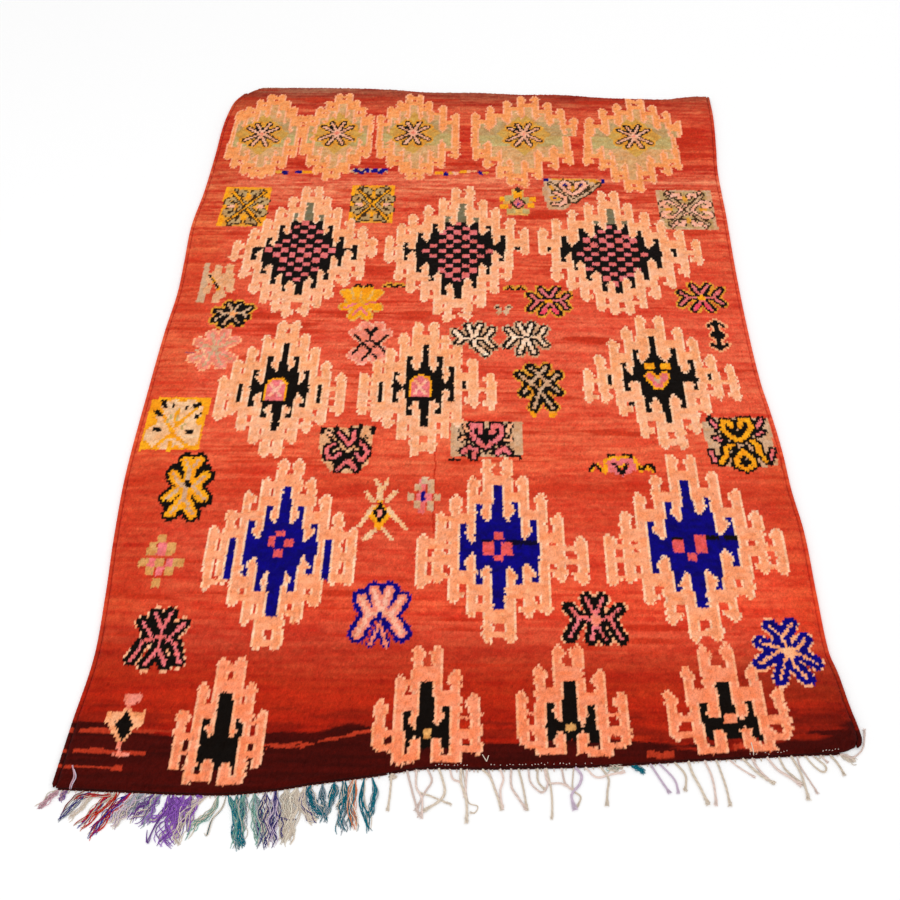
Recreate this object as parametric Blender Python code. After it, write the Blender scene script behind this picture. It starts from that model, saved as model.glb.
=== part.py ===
"""A hand-knotted Boujad pile rug, lying flat.

The rug is measured on its loom plane: "across" runs along the wefts and "along" up the warps,
from the fringed end to the plain end. Each edge is a short table of hand measurements, joined
by a smooth curve. At the end everything is moved so that the origin is under the middle.
"""

import math

import bmesh
import bpy
from mathutils import Vector

# Sizes of the cloth
PILE_HEIGHT = 0.0105
RIM_HEIGHTS = ((0.0, 0.0045), (0.003, 0.0085), (0.009, PILE_HEIGHT))
UNEVENNESS = 0.0011
GAP = 0.0003
PANEL_STEP = 0.052

# The straight frame that the edges wander from
LEFT, RIGHT = -0.765, 0.748
NEAR, FAR = 0.870, 3.170
NEAR_CORNERS = (-0.760, 0.768)
FAR_CORNERS = (-0.711, 0.770)
SIDE_REACH, NEAR_REACH, FAR_REACH = 0.16, 0.50, 0.28

# Side edges: (along, across)
LEFT_EDGE = (
    (0.825, -0.760), (0.950, -0.752), (1.100, -0.741), (1.250, -0.750), (1.400, -0.764),
    (1.580, -0.775), (1.850, -0.774), (2.050, -0.771), (2.200, -0.764), (2.330, -0.768),
    (2.480, -0.774), (2.640, -0.763), (2.820, -0.758), (2.970, -0.757), (3.060, -0.749),
    (3.110, -0.738), (3.157, -0.711),
)
RIGHT_EDGE = (
    (0.934, 0.768), (0.952, 0.776), (1.020, 0.767), (1.090, 0.759), (1.140, 0.750),
    (1.280, 0.752), (1.440, 0.756), (1.560, 0.749), (1.680, 0.748), (1.800, 0.741),
    (1.900, 0.733), (2.080, 0.730), (2.320, 0.733), (2.560, 0.741), (2.760, 0.745),
    (2.900, 0.758), (3.050, 0.770), (3.166, 0.772),
)

# End edges: (across, along)
NEAR_EDGE = (
    (-0.760, 0.825), (-0.640, 0.822), (-0.450, 0.819), (-0.350, 0.828), (-0.260, 0.844),
    (-0.150, 0.861), (-0.060, 0.877), (0.060, 0.879), (0.220, 0.885), (0.340, 0.892),
    (0.470, 0.903), (0.600, 0.912), (0.690, 0.919), (0.742, 0.923), (0.768, 0.934),
)
FAR_EDGE = (
    (-0.711, 3.157), (-0.694, 3.172), (-0.655, 3.189), (-0.550, 3.192), (-0.320, 3.193),
    (-0.190, 3.186), (-0.090, 3.174), (0.080, 3.174), (0.200, 3.166), (0.330, 3.167),
    (0.460, 3.153), (0.600, 3.148), (0.660, 3.148), (0.720, 3.163), (0.770, 3.166),
)

# Overcast side cords
CORD_RADIUS = 0.0045

# Fringe
STRIP_DEPTH = 0.004
COLOURED_STRIP = (-0.757, -0.1333)
PALE_STRIP = (-0.133, 0.740)
NECK_WIDTH = 0.0030
TIP_WIDTH = 0.0026
TOP_SHARE = 0.72
LOCK_SHAPE = ((0.10, 0.0), (0.26, 0.75), (0.50, 1.0), (0.78, 0.85), (1.0, 0.0))

# Coloured yarn locks: root across, middle (across, along) and tip (across, along) from it, width
COLOURED_HEIGHT = 0.004
COLOURED_LOCKS = (
    (-0.750, -0.012, -0.018, -0.026, -0.040, 0.009),
    (-0.731, -0.003, -0.013, -0.009, -0.026, 0.008),
    (-0.708, -0.010, -0.030, -0.020, -0.058, 0.005),
    (-0.685, -0.013, -0.030, -0.036, -0.070, 0.010),
    (-0.664, -0.018, -0.034, -0.040, -0.067, 0.006),
    (-0.640, -0.014, -0.034, -0.051, -0.080, 0.013),
    (-0.626, -0.020, -0.045, -0.043, -0.094, 0.004),
    (-0.611, -0.016, -0.036, -0.048, -0.093, 0.012),
    (-0.595, -0.009, -0.018, -0.020, -0.036, 0.005),
    (-0.570, -0.016, -0.028, -0.042, -0.064, 0.018),
    (-0.548, -0.004, -0.030, -0.018, -0.072, 0.013),
    (-0.527, -0.004, -0.024, -0.024, -0.070, 0.013),
    (-0.507, -0.004, -0.050, -0.004, -0.105, 0.018),
    (-0.490, 0.001, -0.045, -0.002, -0.098, 0.011),
    (-0.475, -0.002, -0.018, -0.004, -0.036, 0.007),
    (-0.455, -0.016, -0.046, -0.018, -0.100, 0.012),
    (-0.438, -0.008, -0.042, -0.018, -0.090, 0.009),
    (-0.423, -0.001, -0.026, -0.014, -0.082, 0.004),
    (-0.405, 0.010, -0.050, 0.020, -0.110, 0.012),
    (-0.388, 0.010, -0.054, 0.020, -0.116, 0.010),
    (-0.369, 0.014, -0.046, 0.034, -0.114, 0.012),
    (-0.347, 0.013, -0.044, 0.026, -0.108, 0.009),
    (-0.331, 0.010, -0.046, 0.021, -0.110, 0.009),
    (-0.313, 0.014, -0.046, 0.026, -0.117, 0.017),
    (-0.291, 0.012, -0.050, 0.040, -0.074, 0.007),
    (-0.276, 0.011, -0.038, 0.026, -0.060, 0.006),
    (-0.261, 0.014, -0.040, 0.030, -0.082, 0.009),
    (-0.243, 0.010, -0.036, 0.015, -0.058, 0.007),
    (-0.221, 0.003, -0.036, 0.003, -0.079, 0.008),
    (-0.201, 0.008, -0.048, 0.012, -0.108, 0.012),
    (-0.182, 0.003, -0.050, 0.008, -0.106, 0.009),
    (-0.168, 0.003, -0.050, 0.010, -0.104, 0.007),
    (-0.156, 0.005, -0.052, 0.022, -0.114, 0.006),
    (-0.143, 0.007, -0.045, 0.014, -0.098, 0.009),
)

# Pale warp ends, in the same columns; the last curls up round the near right corner
PALE_HEIGHT = 0.003
PALE_ENDS = (
    (-0.121, -0.002, -0.038, 0.001, -0.080, 0.0040),
    (-0.084, 0.012, -0.045, 0.033, -0.091, 0.0040),
    (-0.063, 0.010, -0.030, 0.016, -0.060, 0.0036),
    (-0.023, 0.010, -0.036, 0.014, -0.066, 0.0044),
    (-0.002, 0.006, -0.052, 0.020, -0.104, 0.0046),
    (0.028, 0.002, -0.052, 0.006, -0.106, 0.0046),
    (0.066, 0.010, -0.036, 0.018, -0.076, 0.0040),
    (0.095, 0.001, -0.040, 0.002, -0.080, 0.0044),
    (0.114, 0.014, -0.040, 0.022, -0.080, 0.0040),
    (0.131, 0.013, -0.034, 0.021, -0.070, 0.0040),
    (0.150, 0.011, -0.026, 0.016, -0.055, 0.0036),
    (0.210, -0.008, -0.052, -0.026, -0.105, 0.0046),
    (0.238, -0.006, -0.042, -0.020, -0.084, 0.0044),
    (0.256, 0.006, -0.016, 0.010, -0.032, 0.0036),
    (0.281, 0.002, -0.042, 0.001, -0.084, 0.0044),
    (0.305, 0.008, -0.012, 0.018, -0.020, 0.0034),
    (0.334, 0.010, -0.010, 0.024, -0.016, 0.0040),
    (0.370, 0.012, -0.030, 0.028, -0.060, 0.0044),
    (0.393, 0.012, -0.028, 0.024, -0.056, 0.0040),
    (0.416, 0.008, -0.026, 0.014, -0.052, 0.0040),
    (0.449, 0.008, -0.042, 0.020, -0.084, 0.0046),
    (0.482, 0.004, -0.044, 0.002, -0.088, 0.0044),
    (0.503, 0.003, -0.045, 0.004, -0.090, 0.0044),
    (0.524, 0.016, -0.022, 0.036, -0.040, 0.0040),
    (0.555, 0.018, -0.028, 0.038, -0.053, 0.0042),
    (0.601, 0.016, -0.024, 0.034, -0.046, 0.0040),
    (0.646, 0.002, -0.045, 0.000, -0.090, 0.0046),
    (0.658, 0.008, -0.036, 0.014, -0.074, 0.0040),
    (0.673, 0.012, -0.018, 0.024, -0.034, 0.0038),
    (0.698, 0.006, -0.015, 0.012, -0.030, 0.0038),
    (0.720, 0.007, -0.020, 0.015, -0.040, 0.0040),
    (0.736, 0.050, -0.004, 0.064, 0.054, 0.0040),
)

# Node: (colour, roughness)
FINISHES = {
    "rug_field": ((0.62, 0.085, 0.050), 0.92),
    "selvedge_left": ((0.60, 0.090, 0.055), 0.90),
    "selvedge_right": ((0.60, 0.090, 0.055), 0.90),
    "fringe_coloured": ((0.26, 0.22, 0.36), 0.88),
    "fringe_pale": ((0.68, 0.56, 0.46), 0.88),
}


def clear_scene():
    for obj in list(bpy.data.objects):
        bpy.data.objects.remove(obj, do_unlink=True)


def mix(low, high, share):
    return low + (high - low) * share


def eased(table, at):
    """The value at a station of a table, on a smooth curve through its rows."""
    if at <= table[0][0]:
        return table[0][1]
    if at >= table[-1][0]:
        return table[-1][1]
    row = next(i for i in range(len(table) - 1) if at <= table[i + 1][0])
    (a, low), (b, high) = table[row], table[row + 1]
    before = table[max(row - 1, 0)]
    after = table[min(row + 2, len(table) - 1)]
    start = (high - before[1]) / (b - before[0]) * (b - a)
    end = (after[1] - low) / (after[0] - a) * (b - a)
    t = (at - a) / (b - a)
    return (
        low * (1 + 2 * t) * (1 - t) ** 2
        + start * t * (1 - t) ** 2
        + high * t * t * (3 - 2 * t)
        - end * t * t * (1 - t)
    )


def fall(distance, reach):
    """1 at an edge, easing to 0 at the given reach from it."""
    t = min(max(distance / reach, 0.0), 1.0)
    return 1.0 - t * t * (3.0 - 2.0 * t)


def place(u, v):
    """The loom point at share u of the way across and share v of the way along."""
    width, length = RIGHT - LEFT, FAR - NEAR
    near = eased(NEAR_EDGE, mix(*NEAR_CORNERS, u)) - NEAR
    far = eased(FAR_EDGE, mix(*FAR_CORNERS, u)) - FAR
    along = mix(NEAR, FAR, v) + near * fall(v * length, NEAR_REACH)
    along += far * fall((1.0 - v) * length, FAR_REACH)
    left = eased(LEFT_EDGE, along) - LEFT
    right = eased(RIGHT_EDGE, along) - RIGHT
    across = mix(LEFT, RIGHT, u) + left * fall(u * width, SIDE_REACH)
    across += right * fall((1.0 - u) * width, SIDE_REACH)
    return across, along


def waves(across, along):
    """The pile's soft unevenness where the rug doesn't lie quite flat."""
    slow = math.sin(3.1 * along + 1.7 * across) * math.cos(4.3 * across - 0.8)
    quick = math.sin(9.7 * along - 5.9 * across + 0.6)
    return UNEVENNESS * (slow + 0.45 * quick)


def rim_height(inset):
    return eased(RIM_HEIGHTS, inset)


def stations(size):
    """Shares of the way over a side, close together at both rims and even between them."""
    rims = [inset / size for inset, _ in RIM_HEIGHTS]
    middle = round((size - 2 * RIM_HEIGHTS[-1][0]) / PANEL_STEP)
    inner = [mix(rims[-1], 1.0 - rims[-1], i / middle) for i in range(1, middle)]
    return rims + inner + [1.0 - share for share in reversed(rims)]


def new_object(name, data):
    colour, roughness = FINISHES[name]
    material = bpy.data.materials.new(name)
    material.use_nodes = True
    shader = material.node_tree.nodes["Principled BSDF"]
    shader.inputs["Base Color"].default_value = (*colour, 1.0)
    shader.inputs["Roughness"].default_value = roughness
    shader.inputs["Metallic"].default_value = 0.0
    data.materials.append(material)
    obj = bpy.data.objects.new(name, data)
    bpy.data.collections["boujad_rug"].objects.link(obj)
    return obj


def grid_mesh(columns, rows):
    """A flat lattice of faces, and the column and row of each of its points."""
    mesh = bmesh.new()
    bmesh.ops.create_grid(mesh, x_segments=columns, y_segments=rows, size=1.0)
    index = {
        point: (round((point.co.x + 1) / 2 * columns), round((point.co.y + 1) / 2 * rows))
        for point in mesh.verts
    }
    return mesh, index


def thicken(mesh, height_of):
    """Raises a copy of the flat lattice, joined to it by walls; height_of takes a point."""
    raised = bmesh.ops.extrude_face_region(mesh, geom=mesh.faces[:])["geom"]
    for point in raised:
        if isinstance(point, bmesh.types.BMVert):
            point.co.z = height_of(point.co.x, point.co.y)
    bmesh.ops.recalc_face_normals(mesh, faces=mesh.faces[:])


def finished(name, mesh):
    data = bpy.data.meshes.new(name)
    mesh.to_mesh(data)
    mesh.free()
    return new_object(name, data)


def rug_field():
    """The knotted cloth: flat below, its pile rounded off at the rim and a little uneven."""
    width, length = RIGHT - LEFT, FAR - NEAR
    us, vs = stations(width), stations(length)
    mesh, index = grid_mesh(len(us) - 1, len(vs) - 1)
    heights = {}
    for point, (i, j) in index.items():
        across, along = place(us[i], vs[j])
        inset = min(us[i] * width, (1 - us[i]) * width, vs[j] * length, (1 - vs[j]) * length)
        point.co = Vector((across, along, 0.0))
        ripple = waves(across, along) * (inset >= RIM_HEIGHTS[-1][0])
        heights[tuple(point.co)] = rim_height(inset) + ripple
    thicken(mesh, lambda x, y: heights[(x, y, 0.0)])
    field = finished("rug_field", mesh)
    field.data.shade_smooth()
    field.data.set_sharp_from_angle(angle=math.radians(50))
    return field


def side_cord(name, u, side):
    """A round cord of yarn wrapped along one long edge of the cloth."""
    vs = stations(FAR - NEAR)
    edge = [Vector(place(u, v)) for v in vs]
    offset = CORD_RADIUS + GAP
    curve = bpy.data.curves.new(name, "CURVE")
    curve.dimensions = "3D"
    curve.twist_mode = "Z_UP"
    curve.bevel_depth = CORD_RADIUS
    curve.bevel_resolution = 2
    curve.use_fill_caps = True
    spline = curve.splines.new("POLY")
    spline.points.add(len(edge) - 1)
    for i, point in enumerate(edge):
        run = (edge[min(i + 1, len(edge) - 1)] - edge[max(i - 1, 0)]).normalized()
        out = Vector((run.y, -run.x)) * side
        spline.points[i].co = (*(point + out * offset), CORD_RADIUS, 1.0)
    spline.use_smooth = True
    return new_object(name, curve)


def strip_stations(ends, locks):
    """Where the backing strip is divided: its ends and both sides of each lock's root."""
    cuts = [ends[0]]
    for root, *_ in locks:
        cuts += [root - NECK_WIDTH / 2, root + NECK_WIDTH / 2]
    return cuts + [ends[1]]


def near_edge(across):
    """How far along the cloth's near edge lies at a distance across, straight between its points."""
    points = [place(u, 0.0) for u in stations(RIGHT - LEFT)]
    row = next(i for i in range(len(points) - 1) if across <= points[i + 1][0])
    (a, low), (b, high) = points[row], points[row + 1]
    return mix(low, high, (across - a) / (b - a))


def on_bend(middle, tip, share):
    """A point on the parabola from the root through the middle to the tip."""
    return middle * (4 * share * (1 - share)) + tip * (share * (2 * share - 1))


def grow_lock(mesh, face, lock, height):
    """Draws a face of the strip out into a lock that lies on the floor along its bend."""
    _, mid_x, mid_y, tip_x, tip_y, width = lock
    middle, tip = Vector((mid_x, mid_y)), Vector((tip_x, tip_y))
    root = face.calc_center_median().xy
    sideways = Vector((1.0, 0.0))
    centre = root
    narrow = mix(NECK_WIDTH, TIP_WIDTH, 0.5)
    for share, fullness in LOCK_SHAPE:
        face = bmesh.ops.extrude_discrete_faces(mesh, faces=[face])["faces"][0]
        here = root + on_bend(middle, tip, share)
        ahead = on_bend(middle, tip, share + 0.01) - on_bend(middle, tip, share - 0.01)
        turned = Vector((-ahead.y, ahead.x)).normalized()
        half = mix(narrow, width, fullness) / 2
        for point in face.verts:
            side = math.copysign(1.0, (point.co.xy - centre).dot(sideways))
            top = point.co.z > height / 2
            reach = half * (TOP_SHARE if top else 1.0)
            point.co = (*(here + turned * side * reach), height if top else 0.0)
        centre, sideways = here, turned


def fringe(name, ends, locks, height):
    """Strands side by side, their roots held in one narrow strip along the near edge."""
    cuts = strip_stations(ends, locks)
    mesh, index = grid_mesh(len(cuts) - 1, 1)
    for point, (i, back) in index.items():
        outward = GAP + (0.0 if back else STRIP_DEPTH)
        point.co = Vector((cuts[i], near_edge(cuts[i]) - outward, 0.0))
    thicken(mesh, lambda x, y: height)
    roots = {}
    for face in mesh.faces:
        middle = face.calc_center_median()
        for row, lock in enumerate(locks):
            narrow = abs(middle.x - lock[0]) < NECK_WIDTH / 4
            if narrow and face.normal.y < -0.7:
                roots[row] = face
    for row, face in roots.items():
        grow_lock(mesh, face, locks[row], height)
    bmesh.ops.recalc_face_normals(mesh, faces=mesh.faces[:])
    return finished(name, mesh)


def centre_on_origin(objects):
    """Moves everything so that the origin is under the middle of the whole rug."""
    bpy.context.view_layer.update()
    corners = [obj.matrix_world @ Vector(corner) for obj in objects for corner in obj.bound_box]
    low = [min(corner[axis] for corner in corners) for axis in range(2)]
    high = [max(corner[axis] for corner in corners) for axis in range(2)]
    for obj in objects:
        obj.location.x -= (low[0] + high[0]) / 2
        obj.location.y -= (low[1] + high[1]) / 2


def main():
    clear_scene()
    rug = bpy.data.collections.new("boujad_rug")
    bpy.context.scene.collection.children.link(rug)
    centre_on_origin([
        rug_field(),
        side_cord("selvedge_left", 0.0, -1.0),
        side_cord("selvedge_right", 1.0, 1.0),
        fringe("fringe_coloured", COLOURED_STRIP, COLOURED_LOCKS, COLOURED_HEIGHT),
        fringe("fringe_pale", PALE_STRIP, PALE_ENDS, PALE_HEIGHT),
    ])


main()
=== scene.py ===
"""Looks of a hand-knotted Boujad rug: its knotted pile, woven back, overcast sides and fringe.

The pattern is drawn the way it was made, on a chart with one square for each knot. Places on the
rug are loom millimetres: "across" runs along the wefts and "along" up the warps, from the fringed
end. The shapes of a small motif are millimetres from its own middle.
"""

import math

import bpy
import numpy as np
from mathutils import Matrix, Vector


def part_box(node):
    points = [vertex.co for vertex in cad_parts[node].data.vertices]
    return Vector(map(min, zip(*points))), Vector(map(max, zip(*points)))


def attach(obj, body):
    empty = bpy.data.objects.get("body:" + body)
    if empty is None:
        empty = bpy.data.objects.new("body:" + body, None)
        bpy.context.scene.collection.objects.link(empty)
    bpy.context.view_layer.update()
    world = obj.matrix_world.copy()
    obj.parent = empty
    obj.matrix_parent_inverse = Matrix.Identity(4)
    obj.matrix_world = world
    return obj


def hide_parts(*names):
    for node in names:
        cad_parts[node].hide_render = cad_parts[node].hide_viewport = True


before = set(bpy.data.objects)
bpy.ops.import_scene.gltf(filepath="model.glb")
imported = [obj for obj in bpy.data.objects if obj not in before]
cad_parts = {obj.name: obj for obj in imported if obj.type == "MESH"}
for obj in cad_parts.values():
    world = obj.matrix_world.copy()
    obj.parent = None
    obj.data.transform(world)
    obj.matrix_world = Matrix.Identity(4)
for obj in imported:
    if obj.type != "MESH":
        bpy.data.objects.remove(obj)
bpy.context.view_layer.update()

# The cloth's outline on the loom, in metres, as in the part's source
PILE_HEIGHT = 0.0105
RIM_WIDTH = 0.009
RIM_HEIGHTS = ((0.0, 0.0045), (0.003, 0.0085), (RIM_WIDTH, PILE_HEIGHT))
UNEVENNESS = 0.0011
GAP = 0.0003
CORD_RADIUS = 0.0045
LEFT, RIGHT = -0.765, 0.748
NEAR, FAR = 0.870, 3.170
NEAR_CORNERS = (-0.760, 0.768)
FAR_CORNERS = (-0.711, 0.770)
SIDE_REACH, NEAR_REACH, FAR_REACH = 0.16, 0.50, 0.28
WIDTH, LENGTH = RIGHT - LEFT, FAR - NEAR

# Side edges: (along, across)
LEFT_EDGE = (
    (0.825, -0.760), (0.950, -0.752), (1.100, -0.741), (1.250, -0.750), (1.400, -0.764),
    (1.580, -0.775), (1.850, -0.774), (2.050, -0.771), (2.200, -0.764), (2.330, -0.768),
    (2.480, -0.774), (2.640, -0.763), (2.820, -0.758), (2.970, -0.757), (3.060, -0.749),
    (3.110, -0.738), (3.157, -0.711),
)
RIGHT_EDGE = (
    (0.934, 0.768), (0.952, 0.776), (1.020, 0.767), (1.090, 0.759), (1.140, 0.750),
    (1.280, 0.752), (1.440, 0.756), (1.560, 0.749), (1.680, 0.748), (1.800, 0.741),
    (1.900, 0.733), (2.080, 0.730), (2.320, 0.733), (2.560, 0.741), (2.760, 0.745),
    (2.900, 0.758), (3.050, 0.770), (3.166, 0.772),
)

# End edges: (across, along)
NEAR_EDGE = (
    (-0.760, 0.825), (-0.640, 0.822), (-0.450, 0.819), (-0.350, 0.828), (-0.260, 0.844),
    (-0.150, 0.861), (-0.060, 0.877), (0.060, 0.879), (0.220, 0.885), (0.340, 0.892),
    (0.470, 0.903), (0.600, 0.912), (0.690, 0.919), (0.742, 0.923), (0.768, 0.934),
)
FAR_EDGE = (
    (-0.711, 3.157), (-0.694, 3.172), (-0.655, 3.189), (-0.550, 3.192), (-0.320, 3.193),
    (-0.190, 3.186), (-0.090, 3.174), (0.080, 3.174), (0.200, 3.166), (0.330, 3.167),
    (0.460, 3.153), (0.600, 3.148), (0.660, 3.148), (0.720, 3.163), (0.770, 3.166),
)

# The knots, the places in each knot, the pile's bands, and the back's own coarser lattice
COLUMNS, ROWS = 300, 330
SAMPLES = 2
BANDS = 5
BACK_COLUMNS, BACK_ROWS = 100, 110


def mix(low, high, share):
    return low + (high - low) * share


def eased(table, at):
    """Values at stations of a table, on a smooth curve through its rows."""
    at = np.asarray(at, float)
    x = np.array([row[0] for row in table])
    y = np.array([row[1] for row in table])
    i = np.clip(np.searchsorted(x, at) - 1, 0, len(x) - 2)
    before, after = np.maximum(i - 1, 0), np.minimum(i + 2, len(x) - 1)
    span = x[i + 1] - x[i]
    start = (y[i + 1] - y[before]) / (x[i + 1] - x[before]) * span
    end = (y[after] - y[i]) / (x[after] - x[i]) * span
    t = np.clip((at - x[i]) / span, 0.0, 1.0)
    curve = y[i] * (1 + 2 * t) * (1 - t) ** 2 + start * t * (1 - t) ** 2
    return curve + y[i + 1] * t * t * (3 - 2 * t) - end * t * t * (1 - t)


def ease(t):
    t = np.clip(t, 0.0, 1.0)
    return t * t * (3.0 - 2.0 * t)


def rising(at, start, run):
    """From 0 at the start to 1 a run further on; a negative run rises the other way."""
    return ease((at - start) / run)


def place(u, v):
    """The loom point at share u of the way across and share v of the way along."""
    near = eased(NEAR_EDGE, mix(*NEAR_CORNERS, u)) - NEAR
    far = eased(FAR_EDGE, mix(*FAR_CORNERS, u)) - FAR
    along = mix(NEAR, FAR, v) + near * (1 - ease(v * LENGTH / NEAR_REACH))
    along = along + far * (1 - ease((1 - v) * LENGTH / FAR_REACH))
    left = eased(LEFT_EDGE, along) - LEFT
    right = eased(RIGHT_EDGE, along) - RIGHT
    across = mix(LEFT, RIGHT, u) + left * (1 - ease(u * WIDTH / SIDE_REACH))
    return across + right * (1 - ease((1 - u) * WIDTH / SIDE_REACH)), along


def waves(across, along):
    """The pile's soft unevenness where the rug doesn't lie quite flat."""
    slow = np.sin(3.1 * along + 1.7 * across) * np.cos(4.3 * across - 0.8)
    return UNEVENNESS * (slow + 0.45 * np.sin(9.7 * along - 5.9 * across + 0.6))


def loom_to_frame():
    """How far the loom's zero lies from the frame's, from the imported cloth's lowest corner."""
    share = np.linspace(0.0, 1.0, 2001)
    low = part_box("rug_field")[0]
    return min(place(0.0 * share, share)[0]) - low.x, min(place(share, 0.0 * share)[1]) - low.y


SHIFT_ACROSS, SHIFT_ALONG = loom_to_frame()


def seeded(seed):
    return np.random.default_rng(seed)


LATTICE_ROWS, LATTICE_COLUMNS = 512, 128


def streaks(across, along, cell, seed):
    """Soft noise from -1 to 1 with cells of this (across, along) size in millimetres."""
    lattice = seeded(seed).uniform(-1.0, 1.0, (LATTICE_ROWS, LATTICE_COLUMNS))
    x, y = across / cell[0] + 40.0, along / cell[1]
    i, j = np.floor(y).astype(int), np.floor(x).astype(int)
    t, s = ease(y - i), ease(x - j)
    i, j = i % (LATTICE_ROWS - 1), j % (LATTICE_COLUMNS - 1)
    low = mix(lattice[i, j], lattice[i, j + 1], s)
    return mix(low, mix(lattice[i + 1, j], lattice[i + 1, j + 1], s), t)


# Dyes and two painted highlights, as sRGB; the first stands for the ground, which has its own
# shades
DYES = {
    "ground": (0, 0, 0),
    "peach": (249, 166, 116),
    "pale_peach": (250, 172, 128),
    "orange_peach": (244, 152, 88),
    "deep_peach": (246, 139, 97),
    "warm_peach": (249, 156, 110),
    # Painted highlights for the bars' pale edges, not dyes of their own
    "peach_edge_highlight": (253, 194, 154),
    "amber_edge_highlight": (250, 170, 128),
    "grey": (188, 149, 98),
    "barley": (214, 158, 104),
    "olive": (190, 162, 102),
    "cool_grey": (120, 108, 80),
    "gold": (226, 150, 48),
    "glow": (206, 152, 70),
    "yellow": (246, 158, 22),
    "straw": (226, 166, 84),
    "navy": (9, 2, 110),
    "dark_navy": (8, 3, 42),
    "black": (14, 8, 5),
    "umber": (62, 40, 18),
    "pink": (232, 112, 112),
    "rose": (226, 84, 82),
    "dusty_pink": (224, 110, 108),
    "hot_pink": (240, 72, 98),
    "pale_pink": (246, 172, 142),
    "cream": (240, 186, 138),
    "ivory": (250, 206, 172),
    "shell": (236, 168, 134),
    "stone": (208, 160, 122),
    "sand": (228, 164, 118),
    "salmon": (238, 132, 108),
    "tan": (214, 150, 84),
}
DYE_NUMBERS = {name: number for number, name in enumerate(DYES)}


def linear(colours):
    """sRGB from 0 to 255 as the linear colour that a shader takes."""
    c = np.asarray(colours, float) / 255.0
    return np.where(c <= 0.04045, c / 12.92, ((c + 0.055) / 1.055) ** 2.4)


def chart_places():
    u, v = np.meshgrid((np.arange(COLUMNS) + 0.5) / COLUMNS, (np.arange(ROWS) + 0.5) / ROWS)
    across, along = place(u, v)
    return across * 1000, along * 1000


ACROSS, ALONG = chart_places()
CHART = np.zeros((ROWS, COLUMNS), int)
# How far the edges of bars and spikes waver, in millimetres
WOBBLE = 2.0 * streaks(ACROSS, ALONG, (24, 8), 71)


def paint(knots, dye):
    CHART[knots] = DYE_NUMBERS[dye]


def stroke(middle, points, width):
    """The knots within half a width of the line through these points."""
    x, y = ACROSS - middle[0], ALONG - middle[1]
    found = np.zeros(x.shape, bool)
    for (x0, y0), (x1, y1) in zip(points, points[1:] or points):
        run = max((x1 - x0) ** 2 + (y1 - y0) ** 2, 1e-6)
        t = np.clip(((x - x0) * (x1 - x0) + (y - y0) * (y1 - y0)) / run, 0.0, 1.0)
        found |= np.hypot(x - x0 - t * (x1 - x0), y - y0 - t * (y1 - y0)) <= width / 2
    return found


def area(middle, corners):
    """The knots inside this outline."""
    x, y = ACROSS - middle[0], ALONG - middle[1]
    inside = np.zeros(x.shape, bool)
    for (x0, y0), (x1, y1) in zip(corners, corners[1:] + corners[:1]):
        if y0 != y1:
            inside ^= ((y0 > y) != (y1 > y)) & (x < (x1 - x0) * (y - y0) / (y1 - y0) + x0)
    return inside


def block(middle, left, right, low, high):
    x, y = ACROSS - middle[0], ALONG - middle[1]
    return (x > left) & (x < right) & (y > low) & (y < high)


def square(middle, half_width, half_height):
    return block(middle, -half_width, half_width, -half_height, half_height)


def lozenge(middle, half_width, half_height):
    x, y = ACROSS - middle[0], ALONG - middle[1]
    return np.abs(x) / half_width + np.abs(y) / half_height < 1.0


def draw(middle, lines, coats):
    """Draws all the lines once for each coat, a (dye, width), the widest coat first."""
    for dye, width in coats:
        for line in lines:
            paint(stroke(middle, line, width), dye)


def turned(lines, quarters):
    """The lines turned anticlockwise by quarter turns."""
    for _ in range(quarters):
        lines = tuple(tuple((-y, x) for x, y in line) for line in lines)
    return lines


# Large medallions. A row of upright bars stands in steps on each side of the waist. Each pair of
# tips sets the notch between them, the link under the notch and the spike of the core under that.
BAR = 25
TIP_TAPER = 12
HOOK_TOP, HOOK_FOOT = 14, 30
UPPER_HOOK, LOWER_HOOK = 5, 11
RUNG, RUNG_PITCH = 16, 36

# A spike of the core: half its head, how much and where it widens, its bite and its least height
HEAD = 7.0
WIDENING, WIDENS_FROM, WIDENS_OVER = 4.5, 30, 60
BITE_TOP, BITE_FOOT = 16, 34
LEAST_SPIKE = 6

# The core's edge beside a bar: its flat, its slope and its drop below the link
POINT_FLAT, POINT_SLOPE, ROOF_DROP = 4, 1.5, 14


def bar_feet(tips, others):
    """Where bars stand at the waist: half way across to the nearest tip of the other part."""
    places = [other[0] for other in others]
    return [(tip[0] + min(places, key=lambda at: abs(at - tip[0]))) / 2 for tip in tips]


def leaning(tips, rises, feet, height):
    """Where each bar stands across the rug at each knot, on its line from the waist to its tip."""
    return [mix(foot, tip[0], np.clip(height / rise, 0.0, 1.0))
            for tip, rise, foot in zip(tips, rises, feet)]


def bar(across, to_tip, inward, reach, width):
    """One upright bar, pointed at its tip, with a hook towards the medallion's axis."""
    half = width / 2 * (0.35 + 0.65 * np.clip(to_tip / TIP_TAPER, 0.0, 1.0)) + WOBBLE
    hook = reach * ((to_tip > HOOK_TOP) & (to_tip < HOOK_FOOT))
    side = (ACROSS - across) * inward
    return (side > -half) & (side < half + hook) & (to_tip > 0)


def spike(middle, top, height, inward, tower):
    """One spike of the core: a head with a bite under it, on a foot that widens downwards."""
    below = top - height
    widened = WIDENING * np.clip((below - WIDENS_FROM) / WIDENS_OVER, 0.0, 1.0)
    half = (tower or HEAD) + widened + 0.5 * WOBBLE
    side = (ACROSS - middle) * inward
    bitten = (not tower) & (below > BITE_TOP) & (below < BITE_FOOT)
    return (side > -half) & (side < np.where(bitten, 1.0, half)) & (below > 0) & (height >= 0)


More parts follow.
